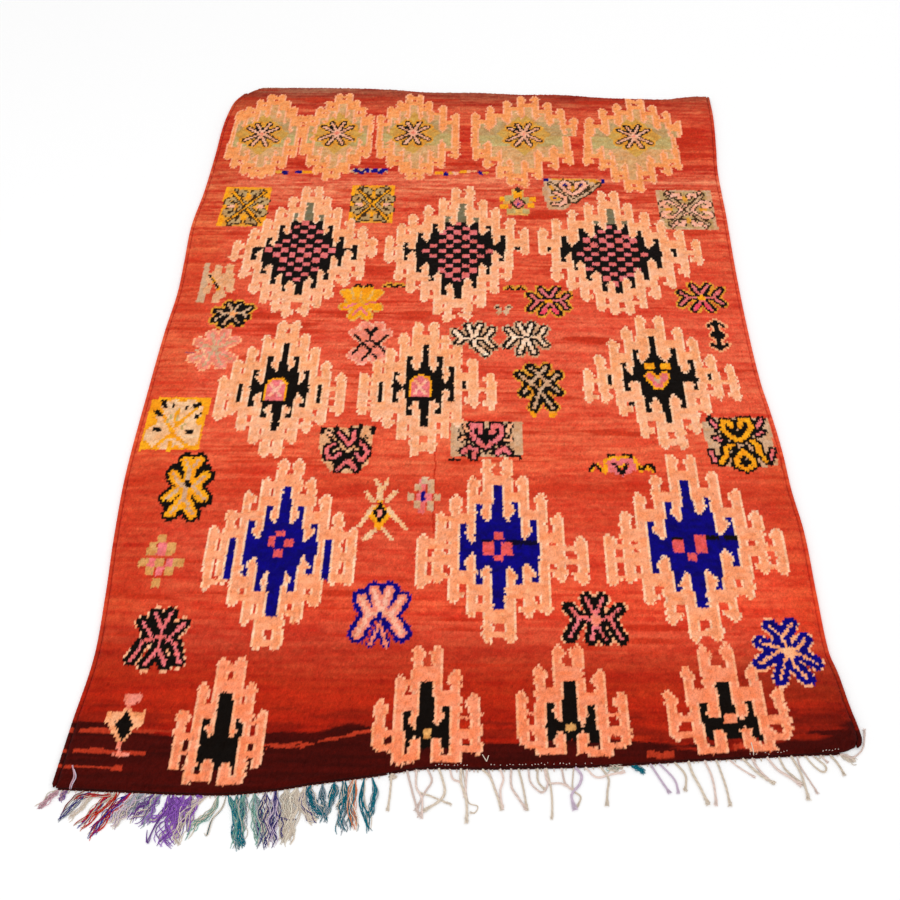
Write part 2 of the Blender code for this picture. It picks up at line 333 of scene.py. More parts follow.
def half_medallion(tips, feet, waist, way, core, bars, notch=50, link=32, spikes=2, tower=10,
                   width=BAR, dip=46):
    """The part above (way 1) or below (way -1) the waist, with its tips as (across, along)."""
    height = way * (ALONG - waist)
    upright = height >= 0
    h = [way * (tip[1] - waist) for tip in tips]
    x = leaning(tips, h, feet, height)
    gaps = range(len(tips) - 1)
    centre = max(gaps, key=lambda i: h[i] + h[i + 1])
    floors = [min(h[i], h[i + 1]) - notch for i in gaps]
    for i in gaps:
        between = (ACROSS > x[i]) & (ACROSS < x[i + 1]) & upright
        if abs(i - centre) <= spikes:
            paint(between & (height < floors[i]), bars)
        else:
            rung = ((height + RUNG / 2) % RUNG_PITCH < RUNG) & (height < max(floors[i], RUNG))
            outermost = i in (0, len(tips) - 2)
            linked = (height > floors[i] - link) & (height < floors[i]) & (not outermost)
            paint(between & (rung | linked), bars)
    for i, across in enumerate(x):
        inward = 1.0 if i <= centre else -1.0
        reach = LOWER_HOOK if way < 0 else UPPER_HOOK
        paint(bar(across, h[i] - height, inward, reach, width) & upright, bars)
    for i in gaps:
        top = floors[i] - link
        if abs(i - centre) <= spikes and top > LEAST_SPIKE:
            inward = 1.0 if i <= centre else -1.0
            middle = (x[i] + x[i + 1]) / 2
            paint(spike(middle, top, height, inward, tower if i == centre else 0), core)
    for i in range(1, len(tips) - 1):
        away = max(abs(i - 1 - centre), abs(i - centre))
        end = min(floors[i - 1], floors[i]) - link - dip
        aside = ACROSS - x[i]
        room = np.where(aside < 0, x[i] - x[i - 1], x[i + 1] - x[i]) / 2
        roof = np.where(aside < 0, floors[i - 1], floors[i]) - link - ROOF_DROP
        level = np.minimum(end + POINT_SLOPE * (np.abs(aside) - POINT_FLAT), roof)
        paint((np.abs(aside) <= room) & upright & (height < level) & (away <= spikes), core)


# The nearest medallions' lower part: its rungs' levels, its feet, inner arms and the core's end
FIRST_RUNG_FOOT, SECOND_RUNG_TOP, SECOND_RUNG_FOOT = 10, 26, 40
FOOT, ARM, CORE_CLEAR = 15, 48, 26


def footed_half(tips, feet, waist, core, bars):
    """The lower part of the nearest medallions, which stand on feet; six tips."""
    depth = waist - ALONG
    h = [waist - tip[1] for tip in tips]
    x = leaning(tips, h, feet, depth)
    paint((ACROSS > x[1]) & (ACROSS < x[4]) & (depth >= 0) & (depth < h[2] - CORE_CLEAR), core)
    for left, right in ((0, 1), (4, 5)):
        second = (depth > SECOND_RUNG_TOP) & (depth < SECOND_RUNG_FOOT)
        rung = (depth >= 0) & ((depth < FIRST_RUNG_FOOT) | second)
        paint((ACROSS > x[left]) & (ACROSS < x[right]) & rung, bars)
    for i, across in enumerate(x):
        to_tip = h[i] - depth
        taper = TIP_TAPER if i in (0, 5) else 1
        half = BAR / 2 * (0.45 + 0.55 * np.clip(to_tip / taper, 0.0, 1.0)) + WOBBLE - 1
        tall = h[i] if i in (0, 1, 4, 5) else ARM - 0.7 * np.abs(ACROSS - across)
        paint((np.abs(ACROSS - across) < half) & (to_tip > 0) & (to_tip <= tall), bars)
    for left, right in ((1, 2), (3, 4)):
        to_sole = (h[left] + h[right]) / 2 - depth
        paint((ACROSS > x[left]) & (ACROSS < x[right]) & (to_sole > 0) & (to_sole < FOOT), bars)


def highlight_bar_edges(dyes, rim):
    """Gives the knots at the sides of the bars a paler edge: a painted highlight of the pile's
    shading there.
    """
    bars = np.isin(CHART, [DYE_NUMBERS[dye] for dye in dyes])
    inner = bars.copy()
    inner[:, 1:] &= bars[:, :-1]
    inner[:, :-1] &= bars[:, 1:]
    paint(bars & ~inner, rim)


# Medallions, row by row from the far end: upper tips and lower tips as (across, along)
FIRST_ROW = (
    (2925,
     ((-718, 3058), (-694, 3079), (-663, 3118), (-631, 3152), (-597, 3149), (-575, 3115),
      (-551, 3079), (-526, 3035)),
     ((-725, 2793), (-702, 2752), (-668, 2720), (-639, 2702), (-612, 2702), (-586, 2715),
      (-556, 2752), (-530, 2811))),
    (2935,
     ((-498, 3035), (-469, 3079), (-441, 3115), (-412, 3157), (-379, 3157), (-355, 3123),
      (-330, 3084), (-305, 3040)),
     ((-501, 2824), (-475, 2762), (-449, 2726), (-420, 2697), (-391, 2702), (-362, 2728),
      (-334, 2770), (-305, 2809))),
    (2940,
     ((-274, 3037), (-243, 3084), (-214, 3118), (-185, 3157), (-152, 3154), (-122, 3118),
      (-76, 3097), (-35, 3053)),
     ((-263, 2806), (-229, 2762), (-194, 2734), (-169, 2700), (-138, 2700), (-110, 2726),
      (-78, 2757), (-34, 2806))),
    (2935,
     ((24, 3059), (73, 3093), (124, 3128), (170, 3155), (217, 3153), (256, 3119),
      (295, 3087), (338, 3037)),
     ((28, 2804), (61, 2760), (99, 2711), (132, 2678), (174, 2667), (217, 2708),
      (269, 2760), (313, 2782))),
    (2930,
     ((384, 3038), (428, 3087), (475, 3114), (517, 3147), (554, 3141), (590, 3108),
      (629, 3073), (664, 3024)),
     ((362, 2782), (409, 2758), (445, 2700), (479, 2655), (515, 2655), (556, 2697),
      (604, 2738), (638, 2763))),
)
SECOND_ROW = (
    (2390,
     ((-637, 2416), (-597, 2471), (-565, 2515), (-535, 2570), (-503, 2622), (-470, 2671),
      (-432, 2671), (-403, 2619), (-369, 2570), (-327, 2520), (-292, 2484), (-261, 2440)),
     ((-640, 2328), (-605, 2255), (-569, 2195), (-537, 2156), (-503, 2127), (-474, 2106),
      (-421, 2114), (-393, 2143), (-366, 2177), (-326, 2231), (-288, 2260), (-261, 2349))),
    (2390,
     ((-215, 2445), (-182, 2500), (-151, 2544), (-109, 2583), (-66, 2617), (-31, 2671),
      (12, 2677), (50, 2614), (88, 2576), (128, 2532), (167, 2485)),
     ((-211, 2330), (-180, 2257), (-146, 2208), (-108, 2174), (-73, 2122), (-45, 2095),
      (6, 2105), (43, 2150), (77, 2206), (116, 2260), (165, 2365))),
    (2385,
     ((217, 2485), (256, 2532), (305, 2570), (351, 2603), (394, 2660), (434, 2660),
      (467, 2603), (512, 2565), (556, 2526), (604, 2485), (645, 2444)),
     ((217, 2365), (247, 2260), (286, 2225), (324, 2181), (362, 2143), (397, 2129),
      (437, 2132), (475, 2156), (512, 2192), (560, 2236), (604, 2288), (645, 2337))),
)
THIRD_ROW = (
    (1852,
     ((-600, 1892), (-572, 1952), (-541, 1996), (-508, 2043), (-474, 2095), (-438, 2095),
      (-410, 2048), (-379, 1999), (-345, 1947), (-306, 1908)),
     ((-594, 1744), (-566, 1762), (-534, 1710), (-500, 1671), (-468, 1632), (-438, 1632),
      (-408, 1673), (-377, 1707), (-343, 1733), (-304, 1765))),
    (1860,
     ((-249, 1910), (-218, 1957), (-188, 1999), (-156, 2054), (-121, 2095), (-78, 2095),
      (-48, 2051), (-19, 2015), (22, 1967), (67, 1915)),
     ((-246, 1767), (-213, 1749), (-184, 1728), (-147, 1689), (-114, 1642), (-74, 1653),
      (-43, 1697), (-14, 1735), (28, 1800), (69, 1792))),
    (1895,
     ((310, 1934), (343, 1986), (380, 2041), (419, 2087), (458, 2134), (507, 2134),
      (554, 2093), (587, 2052), (625, 1992), (670, 1956)),
     ((310, 1816), (350, 1819), (392, 1778), (437, 1709), (481, 1674), (523, 1674),
      (562, 1720), (596, 1786), (633, 1835), (674, 1830))),
)
FOURTH_ROW = (
    (1355,
     ((-554, 1432), (-519, 1479), (-487, 1529), (-451, 1571), (-418, 1628), (-381, 1628),
      (-346, 1573), (-309, 1524), (-276, 1474), (-242, 1432)),
     ((-547, 1263), (-514, 1278), (-485, 1221), (-451, 1179), (-419, 1119), (-381, 1119),
      (-345, 1184), (-310, 1223), (-274, 1281), (-242, 1276))),
    (1385,
     ((-83, 1419), (-47, 1482), (-14, 1529), (24, 1585), (57, 1639), (103, 1643),
      (140, 1591), (179, 1541), (217, 1480), (264, 1420)),
     ((-88, 1276), (-51, 1286), (-15, 1239), (24, 1209), (58, 1146), (106, 1146),
      (144, 1205), (182, 1215), (219, 1297), (265, 1291))),
    (1395,
     ((326, 1426), (365, 1491), (402, 1544), (445, 1598), (488, 1660), (535, 1660),
      (579, 1612), (627, 1557), (662, 1497), (702, 1450)),
     ((326, 1289), (366, 1297), (402, 1242), (445, 1195), (488, 1154), (535, 1157),
      (577, 1204), (616, 1261), (660, 1322), (700, 1322))),
)
LAST_ROW = (
    (928,
     ((-544, 987), (-513, 1047), (-481, 1102), (-445, 1102), (-416, 1047), (-387, 985)),
     ((-542, 859), (-513, 836), (-480, 838), (-445, 831), (-416, 836), (-387, 864))),
    (945,
     ((-156, 1016), (-118, 1073), (-86, 1138), (-45, 1138), (-7, 1084), (30, 1032)),
     ((-157, 906), (-117, 880), (-84, 888), (-43, 888), (-7, 887), (36, 900))),
    (958,
     ((123, 1040), (161, 1098), (199, 1145), (241, 1147), (282, 1090), (322, 1040)),
     ((127, 925), (161, 903), (197, 906), (240, 906), (287, 903), (326, 925))),
    (985,
     ((417, 1044), (458, 1098), (497, 1150), (547, 1156), (592, 1106), (638, 1056)),
     ((424, 936), (471, 912), (511, 917), (566, 921), (604, 922), (642, 950))),
)

# Marks that the rule for the spikes leaves out: dye, (left, right, low, high)
STRIPS = (
    ("warm_peach", (-535, -480, 1300, 1430)),
    ("navy", (-515, -496, 1291, 1400)),
    ("warm_peach", (-310, -270, 1300, 1430)),
    ("navy", (-301, -284, 1296, 1400)),
    ("dark_navy", (40, 72, 1398, 1410)),
    ("dark_navy", (98, 168, 1392, 1408)),
    ("black", (465, 492, 1412, 1424)),
    ("black", (543, 572, 1415, 1427)),
    ("black", (584, 612, 1412, 1430)),
    ("black", (404, 420, 1809, 1822)),
    ("peach", (-570, -540, 1790, 1890)),
    ("black", (-558, -547, 1802, 1866)),
    ("peach", (-375, -345, 1790, 1890)),
    ("black", (-362, -351, 1801, 1869)),
    ("peach", (-215, -190, 1790, 1900)),
    ("black", (-208, -199, 1812, 1878)),
    ("peach", (-10, 20, 1850, 1900)),
    ("black", (-2, 8, 1860, 1886)),
    ("peach", (348, 378, 1870, 1925)),
    ("black", (358, 369, 1884, 1914)),
    ("peach", (600, 632, 1890, 1935)),
    ("black", (612, 620, 1900, 1924)),
)

# The star in each grey core: (across, along) of its middle, then the line of each arm
STARS = ((-637, 2928), (-404, 2939), (-167, 2944), (176, 2941), (517, 2936))
STAR_ARMS = (
    ((0, 6), (-20, 52)), ((0, 6), (18, 54)), ((-12, 6), (-44, 32)), ((12, 6), (44, 32)),
    ((-10, -4), (-50, -34)), ((10, -4), (48, -34)), ((0, -10), (-24, -58)), ((0, -10), (20, -58)),
)
# How far across a star's own core reaches, and how far above and below the star it turns barley
STAR_REACH, BARLEY_FROM = 160, 66


def star(middle):
    """A star of eight arms on a glowing lozenge, in a grey core."""
    core = np.isin(CHART, (DYE_NUMBERS["grey"], DYE_NUMBERS["olive"]))
    near = np.abs(ACROSS - middle[0]) < STAR_REACH
    paint(core & near & (np.abs(ALONG - middle[1]) > BARLEY_FROM), "barley")
    paint(lozenge(middle, 84, 112) & core, "glow")
    draw(middle, STAR_ARMS, (("gold", 34),))
    draw(middle, STAR_ARMS[4:], (("umber", 20),))
    draw(middle, STAR_ARMS[:4], (("black", 20),))
    draw(middle, STAR_ARMS, (("shell", 8),))
    paint(lozenge(middle, 14, 16), "shell")
    paint(lozenge(middle, 6, 9), "salmon")


# Checked lozenges: middle, half width, half height; then the pitch of the checks and half a check
CHECKED = (((-458, 2378), 122, 128), ((-22, 2382), 122, 126), ((406, 2374), 128, 124))
CHECK = (22, 20)
HALF_CHECK = (10, 8)


def checks(middle, half_width, half_height):
    """Pink checks on the black of a core, inside a lozenge."""
    column = np.round((ACROSS - middle[0]) / CHECK[0]).astype(int)
    row = np.round((ALONG - middle[1]) / CHECK[1]).astype(int)
    check = np.abs(ACROSS - middle[0] - column * CHECK[0]) < HALF_CHECK[0]
    check &= np.abs(ALONG - middle[1] - row * CHECK[1]) < HALF_CHECK[1]
    inside = np.abs(column * CHECK[0]) / half_width + np.abs(row * CHECK[1]) / half_height < 1.0
    core = CHART == DYE_NUMBERS["black"]
    paint(inside & core & check & ((column + row) % 2 == 0), "dusty_pink")


def core_marks():
    """The small figures in the middles of the black and navy cores."""
    for middle in ((-464, 1850), (-106, 1868)):
        paint(area(middle, ((-28, -38), (-30, 12), (-20, 32), (0, 40), (20, 32), (28, 14),
                            (27, -38))), "yellow")
        paint(area(middle, ((-22, -38), (-24, 11), (-14, 27), (0, 33), (14, 27), (22, 11),
                            (21, -38))), "pink")
        draw(middle, (((-14, -24), (12, 18)), ((12, -24), (-16, 18))), (("pale_pink", 8),))
        paint(block(middle, -30, 30, -50, -38), "black")
    paint(block((0, 0), 455, 479, 1934, 1954), "yellow")
    paint(block((0, 0), 497, 521, 1934, 1954), "yellow")
    heart = (((-18, 10), (0, -22)), ((18, 10), (0, -22)))
    draw((485, 1902), heart, (("yellow", 31), ("pink", 18)))
    draw((485, 1899), (((-8, 6), (0, -10)), ((8, 6), (0, -10))), (("stone", 6),))
    rose_squares = (
        (-404, 1412, 10, 8), (-420, 1391, 9, 13), (-381, 1388, 11, 11), (-401, 1361, 9, 12),
        (82, 1418, 10, 12), (59, 1383, 11, 15), (100, 1385, 13, 17), (81, 1357, 10, 9),
        (480, 1397, 12, 16), (529, 1404, 12, 22), (506, 1368, 10, 12),
    )
    for across, along, half_width, half_height in rose_squares:
        paint(square((across, along), half_width, half_height), "rose")
    paint(square((-63, 944), 7, 12), "tan")
    paint(square((219, 961), 9, 8), "tan")
    paint(square((534, 984), 13, 10), "deep_peach")


# How the rows are worked: core, bars and form of the upper half, then of the lower half
ROWS_OF_MEDALLIONS = (
    (FIRST_ROW,
     ("grey", "orange_peach", {"notch": 40, "link": 20, "spikes": 3, "dip": 38}),
     ("olive", "orange_peach", {"notch": 40, "link": 20, "spikes": 3, "dip": 38})),
    (SECOND_ROW,
     ("black", "peach", {"spikes": 4, "dip": 38}),
     ("black", "pale_peach", {"spikes": 4, "dip": 38})),
    (THIRD_ROW, ("black", "peach", {"tower": 7}), ("black", "pale_peach", {"tower": 9})),
    (FOURTH_ROW, ("navy", "warm_peach", {}), ("navy", "warm_peach", {"tower": 12})),
)
LAST_FORM = {"spikes": 1, "tower": 13, "width": 23, "dip": 38}
# The cores of the second row turn grey from here up
GREY_FROM = 2505


def medallions():
    """The rows from the far end, then the marks that the rows' rule leaves out."""
    for row, upper_form, lower_form in ROWS_OF_MEDALLIONS:
        for waist, upper, lower in row:
            for tips, others, way, (core, bars, form) in (
                    (upper, lower, 1, upper_form), (lower, upper, -1, lower_form)):
                half_medallion(tips, bar_feet(tips, others), waist, way, core, bars, **form)
    paint((CHART == DYE_NUMBERS["black"]) & (ALONG > GREY_FROM), "cool_grey")
    for waist, upper, lower in LAST_ROW:
        half_medallion(upper, bar_feet(upper, lower), waist, 1, "black", "deep_peach", **LAST_FORM)
        footed_half(lower, bar_feet(lower, upper), waist, "black", "deep_peach")
    for dye, (left, right, low, high) in STRIPS:
        paint(block((0, 0), left, right, low, high), dye)
    # Paler knots at the sides of the bars: painted highlight
    highlight_bar_edges(("peach", "pale_peach", "warm_peach"), "peach_edge_highlight")
    highlight_bar_edges(("deep_peach", "orange_peach"), "amber_edge_highlight")
    for middle in STARS:
        star(middle)
    for row in CHECKED:
        checks(*row)
    core_marks()


# Small figures strewn between the medallions

# Coats of a figure drawn in lines: (dye, width), the widest first
COATS = {
    "gold_edged": (("gold", 36), ("black", 28), ("stone", 7)),
    "pink_in_gold": (("gold", 33), ("black", 24), ("dusty_pink", 8)),
    "stone_edged": (("stone", 33), ("black", 25), ("ivory", 10)),
    "gold_hearted": (("black", 44), ("yellow", 26), ("stone", 7)),
    "pale_edged": (("pale_peach", 36), ("salmon", 28), ("stone", 7)),
    "rose": (("pale_pink", 36), ("salmon", 26)),
    "sunny": (("straw", 34), ("yellow", 27)),
    "red_hearted": (("pale_peach", 34), ("black", 29), ("pink", 7)),
    "blue_edged": (("navy", 42), ("salmon", 22), ("pale_pink", 9)),
    "blue": (("pale_peach", 36), ("navy", 31), ("peach", 6)),
}

# Figures of petals: coats, (across, along) of the middle, then the line through each petal
FLOWERS = (
    ("gold_edged", (-611, 2120), (
        ((0, 0), (-4, 14), (-14, 34)), ((0, 0), (4, 14), (13, 34)), ((0, 0), (24, 4), (43, 22)),
        ((24, 4), (36, -10)), ((0, 0), (-22, 2), (-42, 8)), ((-20, 0), (-42, -26)),
        ((0, -6), (-20, -42)), ((0, -6), (22, -36)))),
    ("pale_edged", (-638, 1987), (
        ((0, 0), (-14, 54)), ((0, 0), (18, 60)), ((0, 0), (-44, 26)), ((0, 0), (46, 32)),
        ((0, -4), (-48, -34)), ((0, -4), (48, -36)), ((0, 0), (-20, -60)), ((0, 0), (24, -56)))),
    ("sunny", (-276, 2168), (
        ((-4, 10), (-14, 54)), ((4, 10), (16, 54)), ((0, 0), (-22, 8), (-42, 38)),
        ((0, 0), (22, 8), (42, 40)), ((0, 0), (-42, -16)), ((0, 0), (44, -18)),
        ((-2, -16), (-18, -52)), ((2, -16), (20, -52)))),
    ("rose", (-241, 2017), (
        ((-4, 20), (-16, 64)), ((4, 20), (18, 64)), ((4, 0), (40, 36)), ((4, -6), (40, -40)),
        ((-4, -14), (-20, -62)), ((4, -14), (20, -60)), ((-4, -6), (-42, -46)),
        ((-4, 0), (-42, 38)))),
    ("pink_in_gold", (225, 2183), (
        ((-2, 12), (-22, 46)), ((2, 12), (20, 46)), ((-2, -2), (-30, 0), (-50, 22)),
        ((-30, 0), (-50, -34)), ((-2, -2), (30, 0), (50, 24)), ((30, 0), (46, -28)),
        ((-2, -8), (-22, -48)), ((2, -8), (22, -48)))),
    ("pink_in_gold", (632, 2205), (
        ((-2, 12), (-20, 46)), ((2, 12), (22, 46)), ((-2, 0), (-34, 0), (-54, 18)),
        ((-34, 0), (-56, -28)), ((-2, 0), (32, 2), (56, 32)), ((32, 2), (54, -24)),
        ((-2, -8), (-22, -46)), ((2, -8), (22, -46)))),
    ("stone_edged", (26, 2032), (
        ((0, 4), (-16, 52)), ((0, 4), (14, 54)), ((0, 4), (-30, 4), (-50, 30)),
        ((-30, 4), (-42, -10)), ((0, 4), (28, 4), (46, 38)), ((28, 4), (48, -24)),
        ((0, 4), (0, -18), (14, -32), (30, -48)))),
    ("stone_edged", (163, 2039), (
        ((-3, 6), (-20, 50)), ((-3, 6), (13, 52)), ((-3, 6), (-32, 4), (-50, 32)),
        ((-32, 4), (-52, -26)), ((-3, 6), (28, 4), (44, 38)), ((28, 4), (46, -24)),
        ((-3, 6), (-20, -50)), ((-3, 6), (16, -50)))),
    ("gold_edged", (187, 1862), (
        ((3, 50), (-20, 74)), ((3, 50), (20, 76)), ((3, 50), (-18, 22), (3, -4)),
        ((3, 50), (22, 22), (3, -4)), ((-18, 22), (-48, 50)), ((-18, 22), (-38, -14)),
        ((22, 22), (50, 52)), ((22, 22), (48, -8)), ((3, -4), (-14, -62)), ((3, -4), (32, -60)))),
    ("gold_hearted", (-631, 1540), (
        ((-3, 10), (-3, 46), (-16, 80)), ((-3, 46), (13, 80)), ((-3, 2), (-20, 10), (-38, 36)),
        ((-18, 0), (-42, -32)), ((-3, 2), (18, 8), (36, 34)), ((14, 0), (42, -34)),
        ((-3, 0), (-3, -30), (-26, -74)), ((-3, -30), (22, -76)))),
    ("red_hearted", (-620, 1146), (
        ((0, 22), (-20, 58)), ((0, 22), (12, 60)), ((0, 22), (0, 4)), ((-18, 2), (-44, 38)),
        ((18, 2), (42, 34)), ((0, 4), (-34, -10), (-52, -50)), ((0, 4), (32, -12), (46, -54)),
        ((0, 4), (0, -26), (-22, -62)), ((0, -26), (20, -62)))),
    ("red_hearted", (281, 1209), (
        ((2, 4), (-14, 50)), ((2, 4), (20, 50)), ((2, -2), (-30, 2), (-52, 26)),
        ((-30, 0), (-54, -46)), ((2, -2), (32, 2), (55, 26)), ((32, 0), (54, -48)),
        ((2, -6), (-8, -50)), ((2, -6), (20, -50)))),
    ("blue_edged", (-168, 1211), (
        ((-2, 8), (-17, 60)), ((2, 8), (16, 60)), ((-2, 2), (-26, 2), (-44, 38)),
        ((-26, -4), (-46, -50)), ((2, 2), (26, 4), (44, 38)), ((22, -4), (46, -46)))),
    ("blue", (669, 1137), (
        ((3, 2), (-2, 32), (-24, 60)), ((-2, 32), (20, 64)), ((3, 2), (-20, 10), (-50, 20)),
        ((3, 2), (-24, -6), (-58, -30)), ((3, 2), (26, 6), (44, 28)),
        ((3, 2), (30, -8), (56, -26)), ((3, 2), (-8, -28), (-22, -64)),
        ((3, 2), (10, -30), (32, -62)))),
)

SCALLOP = (
    ("gold", 17, (-26, -4), (-15, 6), (-4, -4), (15, 6), (26, -4)),
    ("black", 8, (-24, -6), (-15, 4), (-6, -6)), ("black", 8, (5, -6), (15, 4), (24, -6)),
)

# Single strokes, by the middle of their figure: dye, width, then the points
STROKES = (
    # Ticks between the first row and the second
    ((-519, 2735), (
        ("gold", 13, (-55, 1), (-34, 0)), ("yellow", 11, (28, 1), (56, 1)),
        ("navy", 17, (-25, 3), (-21, -2)), ("navy", 17, (14, 2), (18, 2)))),
    ((-289, 2746), (
        ("stone", 24, (-44, 0), (44, 4)), ("navy", 17, (-42, 4), (-40, -2)),
        ("navy", 12, (-30, -6), (-22, -10)), ("navy", 17, (-12, 4), (-8, 2)),
        ("navy", 19, (12, 0), (15, 3)), ("navy", 12, (26, -6), (32, -10)),
        ("navy", 19, (40, 3), (44, 6)))),
    ((-12, 2740), (
        ("yellow", 13, (-76, -3), (-62, -2)), ("navy", 16, (-50, -6), (-48, -6)),
        ("gold", 13, (-38, -2), (-32, 0)), ("pale_pink", 12, (-24, -1), (-14, 0)),
        ("yellow", 13, (-6, 2), (10, 3)), ("pale_peach", 12, (18, 7), (36, 9)),
        ("navy", 15, (50, 1), (53, 0)), ("gold", 12, (64, 2), (74, 0)))),
    # Scallops under the second row
    ((136, 2232), SCALLOP), ((-190, 2238), SCALLOP),
    ((-276, 2236), (
        ("black", 8, (-20, -4), (-12, 4), (-2, -2)), ("black", 8, (8, -2), (18, 4), (28, -4)))),
    ((103, 2148), (
        ("stone", 14, (-18, 10), (-8, -6), (-14, -14)), ("stone", 14, (16, 10), (6, -6), (8, -14)),
        ("black", 6, (-20, 12), (-8, 4)), ("black", 6, (10, 4), (18, 10)))),
    # Sand-coloured crown on the left
    ((-666, 2241), (
        ("stone", 16, (-44, 72), (-38, 24)), ("sand", 21, (-10, 62), (-4, 10)),
        ("sand", 23, (20, 64), (26, 6), (34, -28)), ("stone", 17, (-38, 24), (-38, -76)),
        ("sand", 52, (-14, 16), (18, 4)), ("sand", 24, (6, -20), (8, -40), (2, -72)),
        ("sand", 16, (14, -40), (20, -56)), ("sand", 20, (-26, -20), (-28, -40)),
        ("yellow", 9, (-28, 28), (5, -30)), ("black", 6, (-31, 30), (2, -24)))),
    # Knots in the middles of the petalled figures
    ((-611, 2120), (
        ("orange_peach", 17, (-1, 0), (2, 0)),)),
    ((225, 2183), (
        ("yellow", 18, (-2, -4), (2, -4)), ("hot_pink", 10, (-10, -34), (-20, -50)),
        ("hot_pink", 10, (10, -34), (20, -48)))),
    ((632, 2205), (
        ("yellow", 18, (-2, -2), (2, -2)), ("hot_pink", 10, (-10, -30), (-20, -46)),
        ("hot_pink", 10, (10, -30), (20, -46)))),
    ((-276, 2168), (
        ("straw", 7, (-20, 14), (-26, 40)), ("straw", 7, (20, 14), (28, 38)),
        ("straw", 7, (-3, 12), (-2, 44)), ("gold", 8, (-8, -6), (0, 6), (10, -6)),
        ("pink", 9, (0, -20), (-18, -46)), ("pink", 9, (0, -20), (18, -44)),
        ("pink", 8, (-16, -4), (-40, -20)), ("pink", 8, (14, -4), (36, 4)))),
    ((-241, 2017), (
        ("black", 7, (-40, 30), (-22, -1), (-44, -46)),
        ("black", 11, (-12, 48), (-2, 30), (10, 52)),
        ("black", 7, (0, 26), (-3, 10), (20, -5), (0, -24), (-22, -1), (-3, 10)),
        ("black", 7, (40, 28), (20, -5), (38, -34)), ("black", 8, (-18, -60), (0, -32), (18, -54)),
        ("black", 7, (0, -32), (0, -24)))),
    ((-638, 1987), (
        ("stone", 6, (-28, 8), (-50, -8)), ("pale_peach", 6, (-30, 0), (-14, -40)))),
    ((26, 2032), (
        ("black", 11, (-1, 4), (1, 4)),)),
    ((163, 2039), (
        ("black", 11, (-3, 5), (-2, 5)),)),
    ((187, 1862), (
        ("yellow", 15, (-18, -82), (-14, -84)), ("yellow", 15, (28, -84), (32, -84)),
        ("gold", 9, (3, 26), (4, 18)), ("yellow", 12, (-26, 4), (-24, 0)))),
    ((-631, 1540), (
        ("black", 11, (-5, 14), (2, 6)), ("black", 15, (-44, 60), (-38, 58)),
        ("black", 17, (38, 58), (36, 56)), ("black", 15, (-46, -48), (-42, -46)),
        ("black", 15, (46, -50), (44, -46)))),
    ((281, 1209), (
        ("salmon", 22, (2, 0), (4, -6)),)),
    ((-168, 1211), (
        ("navy", 10, (-1, 4), (0, -6)), ("navy", 19, (0, -22), (-17, -72)),
        ("navy", 19, (0, -22), (15, -72)), ("salmon", 7, (0, -22), (-17, -74)),
        ("salmon", 7, (0, -22), (15, -74)))),
    ((669, 1137), (
        ("peach", 20, (0, 0), (8, -6)),)),
    # Half rosette
    ((372, 1623), (
        ("yellow", 27, (-28, -10), (-30, 8), (-18, 17), (-5, 8), (8, 17), (22, 15), (30, 0)),
        ("pink", 15, (-26, -12), (-28, 4), (-18, 13), (-6, 5), (8, 14), (22, 11), (25, -6)),
        ("pink", 14, (-22, -12), (0, -26), (22, -10)), ("black", 9, (-16, 2), (-2, -26), (14, 5)),
        ("black", 9, (-30, 28), (-18, 30)), ("black", 9, (8, 30), (26, 28)),
        ("yellow", 14, (-72, -12), (-62, 0), (-52, -8), (-42, -24)),
        ("black", 9, (-74, -14), (-66, 0), (-56, -2), (-50, -18)),
        ("yellow", 14, (42, -14), (52, -4), (64, -4), (74, -16)),
        ("black", 9, (40, -6), (46, -12), (58, 2), (70, 0), (75, -14)))),
    # Striding figure with a lozenge
    ((-180, 1487), (
        ("cream", 11, (-20, 84), (-8, 58), (-5, -50), (-34, -84)),
        ("cream", 11, (8, 80), (-2, 55)), ("cream", 11, (0, -50), (26, -84)),
        ("cream", 11, (-42, 50), (-22, 22)), ("cream", 11, (28, 50), (10, 22)),
        ("cream", 11, (-20, 8), (-48, -50)), ("cream", 11, (16, -4), (54, -54)))),
)

# Squares of colour, by the middle of their figure: dye, half width, half height, their places
SQUARES = (
    ((-87, 1529), (
        ("pink", 18, 14, (-1, -8)), ("pink", 8, 46, (-3, -4)),
        ("stone", 8, 11, (-32, -8), (32, -8), (2, 44), (-15, 20), (-16, -31), (15, -32)),
        ("stone", 8, 20, (14, 24)), ("navy", 5, 13, (-3, -4)))),
    ((-652, 1337), (
        ("tan", 10, 11, (-12, 62), (-28, 26), (10, 26), (-40, -6), (-4, -4), (36, -6),
         (-22, -28), (18, -28), (-4, -54)),
        ("tan", 9, 17, (-28, 32), (12, 32)), ("pink", 10, 17, (-8, 32)),
        ("pink", 9, 11, (-22, -6), (16, -6), (-2, -28)))),
    ((150, 2607), (
        ("straw", 17, 58, (0, -3)), ("straw", 42, 18, (0, 2)), ("straw", 30, 14, (0, -48)),
        ("yellow", 11, 10, (-40, 10), (40, 10), (-40, -24), (38, -22), (0, 38), (0, 22)),
        ("olive", 11, 12, (-24, 12), (24, 4), (-20, -46), (22, -46)))),
    ((-652, 945), (
        ("salmon", 17, 8, (1, 68)), ("salmon", 11, 7, (0, 56)), ("salmon", 5, 12, (-2, 44)))),
)

# Lozenges: dye, half width, half height, middle
LOZENGES = (
    ("umber", 25, 33, (152, 2598)), ("dusty_pink", 17, 23, (152, 2596)),
    ("navy", 7, 8, (152, 2594)), ("umber", 12, 14, (152, 2660)),
    ("yellow", 24, 46, (-185, 1467)), ("black", 16, 30, (-185, 1476)),
    ("salmon", 8, 15, (-185, 1472)),
)


